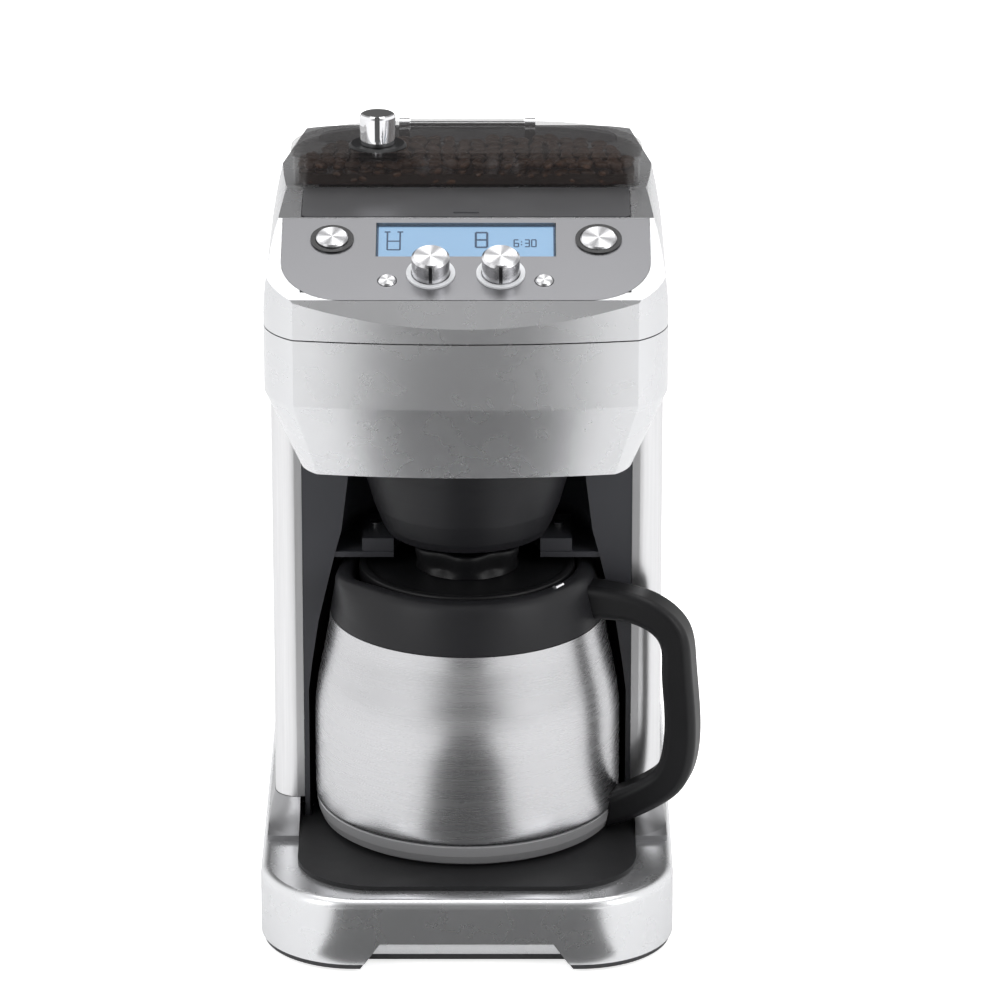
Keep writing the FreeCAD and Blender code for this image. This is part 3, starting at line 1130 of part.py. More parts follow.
spout_x, spout_y = around(rim_radius - 7.0, 180 + spout_turn)
spout = cone("spout_outer", 5.0, 14.6, collar_top + 1.0 - (neck_z + 8), spout_x, spout_y, neck_z + 8)
spout_channel = cone("spout_channel", 3.0, 12.6, collar_top + 1.2 - (neck_z + 9), spout_x, spout_y,
                     neck_z + 9)
mouth = cylinder("mouth", mouth_r, 60.0, 0.0, axis_y, lip_z + 0.2)
inside = turned("collar_inside", [(0.0, neck_z - 1), (neck_r - 4, neck_z - 1)] + collar_in[::-1] +
                [(0.0, collar_top - 3)], 0.0, axis_y, 0.0)
collar_full = turned("collar_full", [(0.0, neck_z)] + collar_out + [(0.0, collar_top)],
                     0.0, axis_y, 0.0)
pin_x, pin_y = around(rim_radius - 5.5, -carafe_turn - 20)
pin_bed = cylinder("pin_bed", 1.5, 7.0, pin_x, pin_y, collar_top - 0.4,
                   Rotation(Vector(0, 0, 1), -carafe_turn - 20) * Rotation(Vector(1, 0, 0), 90))
node(cut("collar_cut", fuse("collar_solid", collar_full, spout), inside, mouth, spout_channel, pin_bed),
     "carafe_collar")
node(cylinder("collar_pin_rod", 1.45, 6.8, pin_x, pin_y, collar_top - 0.4,
              Rotation(Vector(0, 0, 1), -carafe_turn - 20) * Rotation(Vector(1, 0, 0), 90)),
     "collar_pin")

lid_r = mouth_r - gap
grip_r, grip_top = dim("grip_radius"), dim("grip_top")
lid_disc = turned("lid_disc", [
    (4.0, lip_z - 10), (throat_r - 4, lip_z - 10), (throat_r - 3, lip_z + 0.6), (lid_r, lip_z + 0.6),
    (lid_r, collar_top - 0.2), (lid_r - 2.4, collar_top + 0.9), (lid_r - 5, collar_top - 0.2),
    (grip_r + 6, collar_top - 1.2), (4.0, collar_top - 1.2)], 0.0, axis_y, 0.0)
lobes = [cylinder(f"grip_valley_{i}", 11.5, 30.0, *around(grip_r + 7.2, 60 * i + 30), collar_top - 5)
         for i in range(6)]
grip_z = collar_top - 2.2
grip = turned("grip_form", [(4.0, grip_z), (grip_r - 2.5, grip_z), (grip_r, grip_top - 3.5),
                            (grip_r, grip_top - 1), (grip_r - 1, grip_top), (grip_r - 5, grip_top - 0.8),
                            (8.0, grip_top - 3), (4.0, grip_top - 3)], 0.0, axis_y, 0.0)
node(fuse("lid_with_grip", lid_disc, cut("grip_cut", grip, *lobes)), "carafe_lid")

def smooth_wire(points):
    """A smooth curve through points of the handle's side view."""
    curve = Part.BSplineCurve()
    curve.interpolate([Vector(x, 0, z) for x, z in points])
    return curve.toShape()


handle_w, handle_d = plain(dim("handle_width")), plain(dim("handle_depth"))
reach, hand_top = plain(belly) + 44.0, plain(collar_top) - 14
spine = [(plain(neck_r) - 8, hand_top - 0.5), (reach - 40, hand_top - 1), (reach - 24, hand_top - 5),
         (reach - 12.5, hand_top - 15), (reach - 9.6, hand_top - 32), (reach - 7.8, hand_top - 56),
         (reach - 8.2, hand_top - 80), (reach - 13.5, hand_top - 96), (reach - 25, hand_top - 106),
         (plain(belly) + 2, hand_top - 115.5), (plain(belly) - 9, hand_top - 120)]
widths = [1.06, 0.98, 0.94, 0.92, 0.93, 0.96, 1.0, 1.02, 1.0, 1.0, 1.0]


def offset_points(points, side):
    """The spine moved sideways by half the handle's width."""
    moved = []
    for i, (x, z) in enumerate(points):
        x0, z0 = points[max(i - 1, 0)]
        x1, z1 = points[min(i + 1, len(points) - 1)]
        length = math.hypot(x1 - x0, z1 - z0)
        reach_out = side * handle_w / 2 * widths[i]
        moved.append((x - (z1 - z0) / length * reach_out, z + (x1 - x0) / length * reach_out))
    return moved


outer_side, inner_side = offset_points(spine, 1), offset_points(spine, -1)
handle_face = Part.Face(Part.Wire([
    smooth_wire(outer_side),
    Part.LineSegment(*[Vector(x, 0, z) for x, z in (outer_side[-1], inner_side[-1])]).toShape(),
    smooth_wire(inner_side[::-1]),
    Part.LineSegment(*[Vector(x, 0, z) for x, z in (inner_side[0], outer_side[0])]).toShape()]))
handle_bar = handle_face.extrude(Vector(0, handle_d, 0))
handle_bar.translate(Vector(0, -handle_d / 2, 0))
long_edges = [e for e in handle_bar.Edges if e.Length > 2 * handle_d and
              abs(abs(e.CenterOfMass.y) - handle_d / 2) < 1]
handle_bar = handle_bar.makeFillet(4.5, long_edges)
handle_raw = place(freeform("handle_raw", handle_bar), 0.0, axis_y, 0.0,
                   Rotation(Vector(0, 0, 1), -carafe_turn))
can_form = turned("can_form", [(0.0, can_z - 5), (foot_r, can_z - 5), (foot_r + 1.2, can_z + 6.5),
                               (belly + 0.05, band_top - 0.8), (belly + 0.05, 101.0)] +
                  [(r + 0.05, z) for r, z in jacket[4:] + collar_out[1:]] +
                  [(rim_radius - 6, collar_top + 0.05), (0.0, collar_top + 0.05)],
                  0.0, axis_y, 0.0)
node(cut("handle_cut", handle_raw, can_form), "carafe_handle")


# ---------------------------------------------------------------- checks and export

doc.recompute()
wrong = [o.Name for o in doc.Objects if {"Invalid", "Error"} & set(o.State)]
if wrong:
    raise RuntimeError(f"features that failed: {wrong}")
os.makedirs("parts", exist_ok=True)
for made in NODES:
    if made.Shape.isNull() or not made.Shape.isValid():
        raise RuntimeError(f"{made.Label} is not a sound solid")
    made.Shape.exportStep(os.path.join("parts", made.Label + ".step"))
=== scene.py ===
"""Looks of the drip coffee maker: materials for every CAD node, finer surfaces, display, beans, studio."""
import json
import math

import bpy
import numpy as np
from mathutils import Euler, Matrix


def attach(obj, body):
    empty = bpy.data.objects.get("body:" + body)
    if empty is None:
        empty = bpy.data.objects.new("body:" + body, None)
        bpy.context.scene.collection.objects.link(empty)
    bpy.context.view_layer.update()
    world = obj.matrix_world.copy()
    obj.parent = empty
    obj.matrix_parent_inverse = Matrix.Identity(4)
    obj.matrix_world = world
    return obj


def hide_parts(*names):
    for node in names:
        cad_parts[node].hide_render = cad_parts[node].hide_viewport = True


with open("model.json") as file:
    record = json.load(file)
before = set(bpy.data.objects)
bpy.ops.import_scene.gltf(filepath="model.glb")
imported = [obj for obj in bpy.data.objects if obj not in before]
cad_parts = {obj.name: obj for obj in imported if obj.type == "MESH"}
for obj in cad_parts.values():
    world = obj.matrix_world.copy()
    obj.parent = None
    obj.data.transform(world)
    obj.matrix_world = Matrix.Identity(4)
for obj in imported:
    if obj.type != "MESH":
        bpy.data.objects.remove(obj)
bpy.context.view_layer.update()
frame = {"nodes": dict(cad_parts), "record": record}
nodes = frame["nodes"]
record = frame["record"]
rng = np.random.default_rng(7)

LOW_NOISE, HIGH_NOISE = 0.3, 0.7
GRAIN_HEIGHT = 0.00004
BRUSH_HEIGHT = 0.00003
# waves of painted sheen round each turned face: sectors of painted highlight and painted shade
PAINTED_SHEEN_WAVES = 4.0


# ---------------------------------------------------------------- materials

def new_material(name):
    """A node material with a Principled shader and the object's own coordinates."""
    made = bpy.data.materials.new(name)
    made.use_nodes = True
    tree = made.node_tree
    shader = tree.nodes["Principled BSDF"]
    coords = tree.nodes.new("ShaderNodeTexCoord")
    return made, tree, shader, coords.outputs["Object"]


def math_node(tree, operation, *values):
    """One Math node: each value is either a number or another node's output."""
    made = tree.nodes.new("ShaderNodeMath")
    made.operation = operation
    for socket, value in zip(made.inputs, values):
        if isinstance(value, (int, float)):
            socket.default_value = value
        else:
            tree.links.new(value, socket)
    return made.outputs[0]


def scaled(tree, vector, scale):
    """Coordinates stretched by a factor for each axis."""
    mapping = tree.nodes.new("ShaderNodeMapping")
    mapping.inputs["Scale"].default_value = scale
    tree.links.new(vector, mapping.inputs["Vector"])
    return mapping.outputs["Vector"]


def noise(tree, vector, scale, detail=3.0, roughness=0.5):
    """Soft noise from 0 to 1, mostly between LOW_NOISE and HIGH_NOISE."""
    made = tree.nodes.new("ShaderNodeTexNoise")
    made.inputs["Scale"].default_value = scale
    made.inputs["Detail"].default_value = detail
    made.inputs["Roughness"].default_value = roughness
    tree.links.new(vector, made.inputs["Vector"])
    return made.outputs["Fac"]


def ramp(tree, value, low, high, to_low, to_high):
    """Maps a value from one range to another, clamped."""
    made = tree.nodes.new("ShaderNodeMapRange")
    for key, number in (("From Min", low), ("From Max", high), ("To Min", to_low), ("To Max", to_high)):
        made.inputs[key].default_value = number
    tree.links.new(value, made.inputs["Value"])
    return made.outputs["Result"]


def mix_colour(tree, factor, first, second):
    """A colour that goes from the first to the second as the factor goes from 0 to 1."""
    made = tree.nodes.new("ShaderNodeMix")
    made.data_type = "RGBA"
    made.inputs["A"].default_value = (*first, 1)
    made.inputs["B"].default_value = (*second, 1)
    tree.links.new(factor, made.inputs["Factor"])
    return made.outputs["Result"]


def spread(tree, value, to_low, to_high):
    """Noise stretched to fill the range from to_low to to_high."""
    return ramp(tree, value, LOW_NOISE, HIGH_NOISE, to_low, to_high)


def shades(colour, vary):
    """A darker and a lighter shade of a colour."""
    return tuple(c * (1 - vary) for c in colour), tuple(min(1.0, c * (1 + vary)) for c in colour)


def bump(tree, shader, height, strength, distance):
    """Fine relief, with its height in metres."""
    made = tree.nodes.new("ShaderNodeBump")
    made.inputs["Strength"].default_value = strength
    made.inputs["Distance"].default_value = distance
    tree.links.new(height, made.inputs["Height"])
    tree.links.new(made.outputs["Normal"], shader.inputs["Normal"])


def satin(name, colour, rough, metal=0.0, grain=0.35, grain_scale=2600.0, vary=0.12, coat=0.0):
    """Paint or moulded plastic: fine grain, slow colour drift and uneven gloss."""
    made, tree, shader, at = new_material(name)
    drift = spread(tree, noise(tree, at, 14.0, 2.0), 0, 1)
    gloss = spread(tree, noise(tree, at, 60.0, 4.0), rough * 0.95, rough * 1.05)
    tree.links.new(mix_colour(tree, drift, *shades(colour, vary)), shader.inputs["Base Color"])
    tree.links.new(gloss, shader.inputs["Roughness"])
    shader.inputs["Metallic"].default_value = metal
    shader.inputs["Coat Weight"].default_value = coat
    bump(tree, shader, noise(tree, at, grain_scale, 2.0), grain, GRAIN_HEIGHT)
    return made


def brushed(name, colour, rough, stretch, metal=1.0, streak=0.10, depth=0.5, anisotropy=0.5):
    """Brushed metal: streaks drawn out along one axis in colour, gloss and height."""
    made, tree, shader, at = new_material(name)
    fine = noise(tree, scaled(tree, at, stretch), 1.0, 5.0, 0.6)
    coarse = noise(tree, scaled(tree, at, tuple(s * 0.22 for s in stretch)), 1.0, 3.0)
    tree.links.new(mix_colour(tree, spread(tree, fine, 0, 1), *shades(colour, streak)),
                   shader.inputs["Base Color"])
    tree.links.new(spread(tree, coarse, rough * 0.95, rough * 1.06), shader.inputs["Roughness"])
    shader.inputs["Metallic"].default_value = metal
    shader.inputs["Anisotropic"].default_value = anisotropy
    bump(tree, shader, fine, depth, BRUSH_HEIGHT)
    return made


def clear(name, colour, rough, see_through=0.75, coat=1.0):
    """Thin clear plastic: most light passes straight on; its glossy skin has faint flow lines."""
    made, tree, shader, at = new_material(name)
    shader.inputs["Base Color"].default_value = (*colour, 1)
    shader.inputs["Alpha"].default_value = 1 - see_through
    shader.inputs["Coat Weight"].default_value = coat
    shader.inputs["Coat Roughness"].default_value = 0.04
    flow = noise(tree, scaled(tree, at, (20, 20, 90)), 1.0)
    tree.links.new(spread(tree, flow, rough * 0.7, rough * 1.4), shader.inputs["Roughness"])
    return made


def glow(name, colour, strength):
    """A lit display surface, slightly uneven in brightness."""
    made, tree, shader, at = new_material(name)
    drift = spread(tree, noise(tree, at, 18.0, 1.0), 0, 1)
    dim = tuple(c * 0.94 for c in colour)
    tree.links.new(mix_colour(tree, drift, dim, colour), shader.inputs["Emission Color"])
    shader.inputs["Base Color"].default_value = (*(c * 0.2 for c in colour), 1)
    shader.inputs["Emission Strength"].default_value = strength
    shader.inputs["Roughness"].default_value = 0.25
    return made


def spun_painted_sheen(name, colour, rough, centre, axis_tilt):
    """A turned metal face with painted sheen: a set number of dark and bright sectors are painted into its
    colour round its centre, by the angle atan2(y, x), in place of the fan of reflections on spun metal.
    """
    made, tree, shader, at = new_material(name)
    mapping = tree.nodes.new("ShaderNodeMapping")
    mapping.vector_type = "TEXTURE"
    mapping.inputs["Location"].default_value = centre
    mapping.inputs["Rotation"].default_value = (axis_tilt, 0, 0)
    tree.links.new(at, mapping.inputs["Vector"])
    split = tree.nodes.new("ShaderNodeSeparateXYZ")
    tree.links.new(mapping.outputs["Vector"], split.inputs["Vector"])
    angle = math_node(tree, "ARCTAN2", split.outputs["Y"], split.outputs["X"])
    wave = math_node(tree, "SINE", math_node(tree, "MULTIPLY", angle, PAINTED_SHEEN_WAVES))
    # painted shade for the dark sectors of the sheen; the bright sectors are painted highlight
    painted_sheen_shade = tuple(c * 0.38 for c in colour)
    tree.links.new(mix_colour(tree, ramp(tree, wave, -0.9, 0.9, 0, 1), painted_sheen_shade, colour),
                   shader.inputs["Base Color"])
    tree.links.new(spread(tree, noise(tree, at, 900.0), rough * 0.8, rough * 1.3),
                   shader.inputs["Roughness"])
    shader.inputs["Metallic"].default_value = 0.9
    return made


SLOTS = {
    "silver_paint": satin("silver_satin_paint", (0.76, 0.765, 0.78), 0.27, metal=0.92, vary=0.01, grain=0.0),
    "brushed_panel": brushed("brushed_side_steel", (0.78, 0.78, 0.79), 0.30, (900, 900, 14),
                             streak=0.04, depth=0.1),
    "brushed_jacket": brushed("brushed_jacket_steel", (0.62, 0.62, 0.635), 0.27, (90, 90, 2600),
                              streak=0.005, depth=0.0),
    "inner_steel": brushed("spun_steel", (0.6, 0.6, 0.61), 0.25, (60, 60, 1400)),
    "bare_steel": brushed("bright_steel", (0.75, 0.75, 0.76), 0.2, (300, 300, 300), streak=0.04),
    "chrome": satin("chrome_plate", (0.86, 0.86, 0.88), 0.07, metal=1.0, grain=0.05, vary=0.02),
    "dial_metal": satin("turned_aluminium", (0.78, 0.78, 0.80), 0.2, metal=1.0, grain=0.1, vary=0.04),
    "panel_grey": satin("panel_satin_grey", (0.235, 0.235, 0.245), 0.34, metal=0.85, vary=0.01, grain=0.0),
    "foot_grey": satin("foot_dark_grey", (0.34, 0.34, 0.35), 0.32, metal=0.8, vary=0.04),
    "liner_grey": satin("liner_moulded_grey", (0.040, 0.041, 0.048), 0.5, grain=0.4),
    "bowl_grey": satin("bowl_moulded_black", (0.010, 0.010, 0.012), 0.45, grain=0.3),
    "mat_black": satin("mat_rubber", (0.012, 0.012, 0.013), 0.55, grain=0.8, grain_scale=1800.0),
    "black_satin": satin("satin_black_plastic", (0.009, 0.009, 0.010), 0.40, grain=0.2),
    "collar_grey": satin("collar_charcoal", (0.014, 0.014, 0.016), 0.42, grain=0.25),
    "ring_black": satin("ring_gloss_black", (0.008, 0.008, 0.009), 0.2, grain=0.1, coat=0.5),
    "ring_white": satin("ring_pale", (0.70, 0.71, 0.73), 0.35, grain=0.1),
    "lcd_glass": clear("display_pane", (0.3, 0.4, 0.5), 0.05, 0.93, 0.2),
    "smoke": clear("smoked_plastic", (0.045, 0.04, 0.04), 0.05, 0.66, 0.4),
    "clear_tank": clear("clear_plastic", (0.55, 0.62, 0.66), 0.08, 0.6),
    "beans": satin("bean_bed", (0.035, 0.018, 0.01), 0.4),
    "rubber_black": satin("foot_rubber", (0.015, 0.015, 0.016), 0.6, grain=0.6),
    "floor_black": satin("moulded_black", (0.03, 0.03, 0.033), 0.5, grain=0.6),
    "filter_steel": brushed("filter_mesh", (0.55, 0.50, 0.36), 0.35, (1500, 1500, 1500), depth=0.8),
    "burr_steel": brushed("burr_steel", (0.42, 0.42, 0.44), 0.3, (700, 700, 40)),
    "motor": satin("motor_lacquer", (0.05, 0.05, 0.06), 0.4, metal=0.6),
    "heater": brushed("cast_aluminium", (0.5, 0.5, 0.51), 0.5, (500, 500, 500)),
    "pump": satin("pump_housing", (0.62, 0.62, 0.60), 0.45),
    "hose": satin("silicone_hose", (0.72, 0.70, 0.64), 0.4, grain=0.1),
    "board": satin("circuit_board", (0.02, 0.14, 0.05), 0.4),
}
for part in record["subparts"]:
    shown = nodes[part["node"]]
    shown.data.materials.clear()
    shown.data.materials.append(SLOTS[part["material_slot"]])

# the dull blacks shine less than other plastic, and the carafe's foot band is a duller steel than its jacket
DULL_SHINE = 0.28
for slot in ("bowl_grey", "black_satin", "collar_grey", "mat_black"):
    shader = SLOTS[slot].node_tree.nodes["Principled BSDF"]
    shader.inputs["Specular IOR Level"].default_value = DULL_SHINE
foot_band = satin("foot_band_steel", (0.42, 0.42, 0.43), 0.32, metal=0.45, vary=0.02)
nodes["carafe_foot"].data.materials[0] = foot_band

# ---------------------------------------------------------------- mesh helpers

def mesh_object(name, points, faces, material, body, smooth_angle=35.0):
    """An object from whole arrays of points and faces."""
    mesh = bpy.data.meshes.new(name)
    mesh.from_pydata(np.asarray(points, float).tolist(), [], np.asarray(faces, int).tolist())
    mesh.validate()
    mesh.shade_smooth()
    mesh.set_sharp_from_angle(angle=math.radians(smooth_angle))
    made = bpy.data.objects.new(name, mesh)
    bpy.context.scene.collection.objects.link(made)
    made.data.materials.append(material)
    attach(made, body)
    return made


def grid_faces(rows, columns):
    """Quads of a grid of points, row by row, with its columns closed into a ring."""
    i, j = np.meshgrid(np.arange(rows - 1), np.arange(columns), indexing="ij")
    k = (j + 1) % columns
    quads = np.stack([i * columns + j, i * columns + k, (i + 1) * columns + k, (i + 1) * columns + j], -1)
    return quads.reshape(-1, 4)


def smooth_profile(points, steps=8):
    """Catmull-Rom curve through profile points, for each four a, b, c and d in turn:
    p(t) = 1/2 (2b + (c - a) t + (2a - 5b + 4c - d) t^2 + (3b - a - 3c + d) t^3)."""
    p = np.asarray(points, float)
    p = np.vstack([2 * p[0] - p[1], p, 2 * p[-1] - p[-2]])
    t = np.linspace(0, 1, steps, endpoint=False)[:, None]
    runs = [0.5 * (2 * b + (c - a) * t + (2 * a - 5 * b + 4 * c - d) * t**2
                   + (3 * b - a - 3 * c + d) * t**3)
            for a, b, c, d in zip(p[:-3], p[1:-2], p[2:-1], p[3:])]
    return np.vstack(runs + [p[-2][None]])


CARAFE_Y = -0.044
TURNED_SEGMENTS = 256


def lathe(name, profile, material, body, reach=None):
    """A closed profile of (r, z) points turned round the carafe's axis, where k = 1 unless reach gives it:
    x = r(t) k(a, z) cos a, y = CARAFE_Y + r(t) k(a, z) sin a, z = z(t)."""
    profile = np.asarray(profile, float)
    a = np.linspace(0, 2 * math.pi, TURNED_SEGMENTS, endpoint=False)
    r, z = profile[:, :1], profile[:, 1:] * np.ones((1, TURNED_SEGMENTS))
    k = reach(a[None, :], z) if reach else 1.0
    points = np.stack([r * np.cos(a) * k, CARAFE_Y + r * np.sin(a) * k, z], -1)
    ring = np.arange(TURNED_SEGMENTS)
    after = (ring + 1) % TURNED_SEGMENTS
    last = (len(profile) - 1) * TURNED_SEGMENTS
    closing = np.stack([last + ring, last + after, after, ring], -1)
    faces = np.vstack([grid_faces(len(profile), TURNED_SEGMENTS), closing])
    return mesh_object(name, points.reshape(-1, 3), faces, material, body)


# ---------------------------------------------------------------- carafe

SHEET = 0.0010
jacket_outer = smooth_profile([
    (0.0800, 0.0567), (0.08045, 0.0585), (0.0806, 0.065), (0.0806, 0.082), (0.0806, 0.101),
    (0.08025, 0.110), (0.0794, 0.118), (0.0781, 0.126), (0.0764, 0.134), (0.0748, 0.142),
    (0.0733, 0.150), (0.07205, 0.1588)])
jacket_inner = jacket_outer[::-8] - np.array([SHEET, 0.0])
jacket = lathe("carafe_jacket_fine", np.vstack([jacket_outer, jacket_inner]), SLOTS["brushed_jacket"],
               "carafe")
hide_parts("carafe_jacket")

SPOUT_ANGLE = math.pi + math.radians(20)
SPOUT_HALF_WIDTH = 0.26
SPOUT_REACH = 0.105
SPOUT_FOOT, SPOUT_HEIGHT = 0.166, 0.0195


def pouring_lip(a, z):
    """k = 1 + reach s(z)^1.5 exp(-(d / half width)^2), where d is the angle from the spout and s goes from 0
    to 1 over the spout's height: the rim is pushed out near the spout, more towards the top."""
    d = np.angle(np.exp(1j * (a - SPOUT_ANGLE)))
    s = np.clip((z - SPOUT_FOOT) / SPOUT_HEIGHT, 0, 1) ** 1.5
    return 1 + SPOUT_REACH * s * np.exp(-(d / SPOUT_HALF_WIDTH) ** 2)


collar_outer = smooth_profile([
    (0.07195, 0.1592), (0.0716, 0.1622), (0.0706, 0.168), (0.0693, 0.1735), (0.0679, 0.1785),
    (0.0664, 0.1822), (0.0642, 0.1846), (0.0618, 0.1856), (0.0600, 0.1859), (0.0586, 0.1853),
    (0.0577, 0.1836), (0.0575, 0.178)])
collar_inner = np.array([(0.0640, 0.1770), (0.0672, 0.1680), (0.0680, 0.1594)])
collar = lathe("carafe_collar_fine", np.vstack([collar_outer, collar_inner]), SLOTS["collar_grey"],
               "carafe", reach=pouring_lip)
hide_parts("carafe_collar")

lid_profile = np.vstack([
    smooth_profile([(0.0045, 0.1846), (0.030, 0.1846), (0.046, 0.1846), (0.0505, 0.1849), (0.0535, 0.1862),
                    (0.0556, 0.1862), (0.0566, 0.1850), (0.0568, 0.1790)], 6),
    np.array([(0.0555, 0.1768), (0.0548, 0.1664), (0.0045, 0.1664)])])
lid = lathe("carafe_lid_fine", lid_profile, SLOTS["black_satin"], "pour_lid")


GRIP_LOBES = 6
HOLLOW_DEPTH = 0.13
GRIP_FOOT, HOLLOW_FADE = 0.1845, 0.004


def scallops(a, z):
    """k = 1 - depth w(a)^1.4 f(z), where w = (1 + cos(lobes a)) / 2 and f fades in above the lid: shallow
    finger hollows between the grip's lobes."""
    wave = (1 + np.cos(GRIP_LOBES * a)) / 2
    return 1 - HOLLOW_DEPTH * wave ** 1.4 * np.clip((z - GRIP_FOOT) / HOLLOW_FADE, 0, 1)


grip_profile = smooth_profile([
    (0.0042, 0.1849), (0.0042, 0.1900), (0.0042, 0.1940), (0.0052, 0.1950), (0.0120, 0.1951),
    (0.0215, 0.1956), (0.0258, 0.1972), (0.0278, 0.1980), (0.0291, 0.1976), (0.0295, 0.1962),
    (0.0292, 0.1940), (0.0282, 0.1900), (0.0275, 0.1849)], 6)
grip = lathe("carafe_lid_grip_fine", grip_profile, SLOTS["black_satin"], "pour_lid", reach=scallops)
grip.parent = lid
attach(grip, "pour_lid")
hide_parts("carafe_lid")

# ---------------------------------------------------------------- control panel

TILT = math.radians(21)
PANEL = np.array([0.0, -0.132, 0.3581])


def on_panel(points):
    """Panel coordinates u across, v up the slope and w above it, to the row frame, with t the tilt:
    x = x0 + u, y = y0 + v cos t - w sin t, z = z0 + v sin t + w cos t."""
    u, v, w = np.asarray(points, float).T
    return PANEL + np.stack([u, v * math.cos(TILT) - w * math.sin(TILT),
                             v * math.sin(TILT) + w * math.cos(TILT)], -1)


def strokes(name, bars, low, high, material, body="housing"):
    """Flat bars on the panel from (x0, y0, x1, y1, width) rows: each is a box along its line, low to high."""
    b = np.asarray(bars, float)
    start, end, half = b[:, 0:2], b[:, 2:4], b[:, 4:5] / 2
    along = (end - start) / np.linalg.norm(end - start, axis=1, keepdims=True)
    side = np.stack([-along[:, 1], along[:, 0]], -1) * half
    corners = np.stack([start - side, end - side, end + side, start + side], 1)
    rows = [np.concatenate([corners, np.full((len(b), 4, 1), w)], -1) for w in (low, high)]
    points = np.concatenate(rows, 1).reshape(-1, 3)
    box = np.array([(3, 2, 1, 0), (4, 5, 6, 7), (0, 1, 5, 4), (1, 2, 6, 5), (2, 3, 7, 6), (3, 0, 4, 7)])
    faces = (box[None] + 8 * np.arange(len(b))[:, None, None]).reshape(-1, 4)
    return mesh_object(name, on_panel(points), faces, material, body, 20)


SEGMENTS = {"a": (0, 2, 1, 2), "b": (1, 1, 1, 2), "c": (1, 0, 1, 1), "d": (0, 0, 1, 0), "e": (0, 0, 0, 1),
            "f": (0, 1, 0, 2), "g": (0, 1, 1, 1)}
DIGITS = {"0": "abcdef", "3": "abgcd", "6": "afgcde", "8": "abcdefg"}


def digit_bars(text, x, y, width, height, weight):
    """Seven-segment digits as bars, from a lower left corner."""
    bars = []
    for mark in text:
        if mark == ":":
            bars += [(x, y + height * s, x + weight, y + height * s, weight) for s in (0.3, 0.7)]
            x += weight * 3
            continue
        for s in DIGITS[mark]:
            x0, y0, x1, y1 = SEGMENTS[s]
            bars.append((x + x0 * width, y + y0 * height / 2, x + x1 * width, y + y1 * height / 2, weight))
        x += width * 1.55
    return bars


# the display, behind its window: a lit screen, a dark border, a large digit, a clock and a cup
LCD_Y = 0.0662 - 0.0173
LCD_HALF_WIDTH, LCD_HEIGHT = 0.0445, 0.0255
BORDER_X, BORDER_Y, BORDER_WIDTH = 0.0450, 0.0131, 0.0011
SCREEN_BACK, SCREEN_FACE, MARK_FACE, BORDER_FACE = -0.0022, -0.0019, -0.00175, -0.0017
screen = strokes("display_screen", [(-LCD_HALF_WIDTH, LCD_Y, LCD_HALF_WIDTH, LCD_Y, LCD_HEIGHT)],
                 SCREEN_BACK, SCREEN_FACE, glow("screen_blue", (0.28, 0.47, 0.70), 0.85))
frame_bars = [(-0.0455, LCD_Y + s * BORDER_Y, 0.0455, LCD_Y + s * BORDER_Y, BORDER_WIDTH) for s in (-1, 1)]
frame_bars += [(s * BORDER_X, LCD_Y - BORDER_Y, s * BORDER_X, LCD_Y + BORDER_Y, BORDER_WIDTH)
               for s in (-1, 1)]
ink = satin("display_ink", (0.02, 0.05, 0.11), 0.5, grain=0.0)
border = strokes("display_border", frame_bars, SCREEN_FACE, BORDER_FACE, ink)
marks = digit_bars("8", 0.0050, LCD_Y - 0.004, 0.0058, 0.0120, 0.0012)
marks += digit_bars("6:30", 0.0245, LCD_Y - 0.0035, 0.0022, 0.0056, 0.0007)
CUP_LINE = 0.0009
cup = [(-0.0400, -0.0060, -0.0400, 0.0085), (-0.0335, -0.0060, -0.0335, 0.0085),
       (-0.0400, 0.0010, -0.0335, 0.0010), (-0.0400, -0.0060, -0.0335, -0.0060),
       (-0.0415, 0.0085, -0.0385, 0.0085), (-0.0350, 0.0085, -0.0320, 0.0085)]
marks += [(x0, LCD_Y + y0, x1, LCD_Y + y1, CUP_LINE) for x0, y0, x1, y1 in cup]
digits = strokes("display_digits", marks, SCREEN_FACE, MARK_FACE, ink)

# a dark pointer let into the rim of each dial
DIAL_X, DIAL_Y = 0.0177, 0.0210
POINTER_OUT, POINTER_IN, POINTER_WIDTH = 0.0096, 0.0085, 0.0017
POINTER_FOOT, POINTER_TOP = 0.0016, 0.0108
for side, s in (("left", -1), ("right", 1)):
    line = (s * DIAL_X, DIAL_Y - POINTER_OUT, s * DIAL_X, DIAL_Y - POINTER_IN, POINTER_WIDTH)
    pointer = strokes(f"{side}_dial_pointer", [line], POINTER_FOOT, POINTER_TOP, SLOTS["ring_black"],
                      f"dial_{side}")

# each turned face: its node, its place across and up the panel, and its height above it
FACES = (("left_dial", -DIAL_X, DIAL_Y, 0.012), ("right_dial", DIAL_X, DIAL_Y, 0.012),
         ("start_button", 0.0674, 0.0486, 0.002), ("menu_button", -0.068, 0.0486, 0.0026),
         ("left_small_button", -0.0396, 0.0156, 0.001), ("right_small_button", 0.0396, 0.0156, 0.001))
# the turned faces of the dials and buttons get painted sheen: fans of painted highlight and painted shade in
# their colour
for label, across, up, high in FACES:
    centre = on_panel([(across, up, high)])[0]
    nodes[label].data.materials[0] = spun_painted_sheen(label + "_face", (0.86, 0.86, 0.88), 0.22, tuple(centre), TILT)

# ---------------------------------------------------------------- beans

BEAN_RINGS, BEAN_SIDES = 8, 12
BEAN_HALVES = np.array([4.6, 3.2, 2.3]) * 0.001
GROOVE_HALF_WIDTH, GROOVE_DEPTH = 0.00055, 0.32
SHAKE_ACROSS, SHAKE_UP = 0.0011, 0.0007


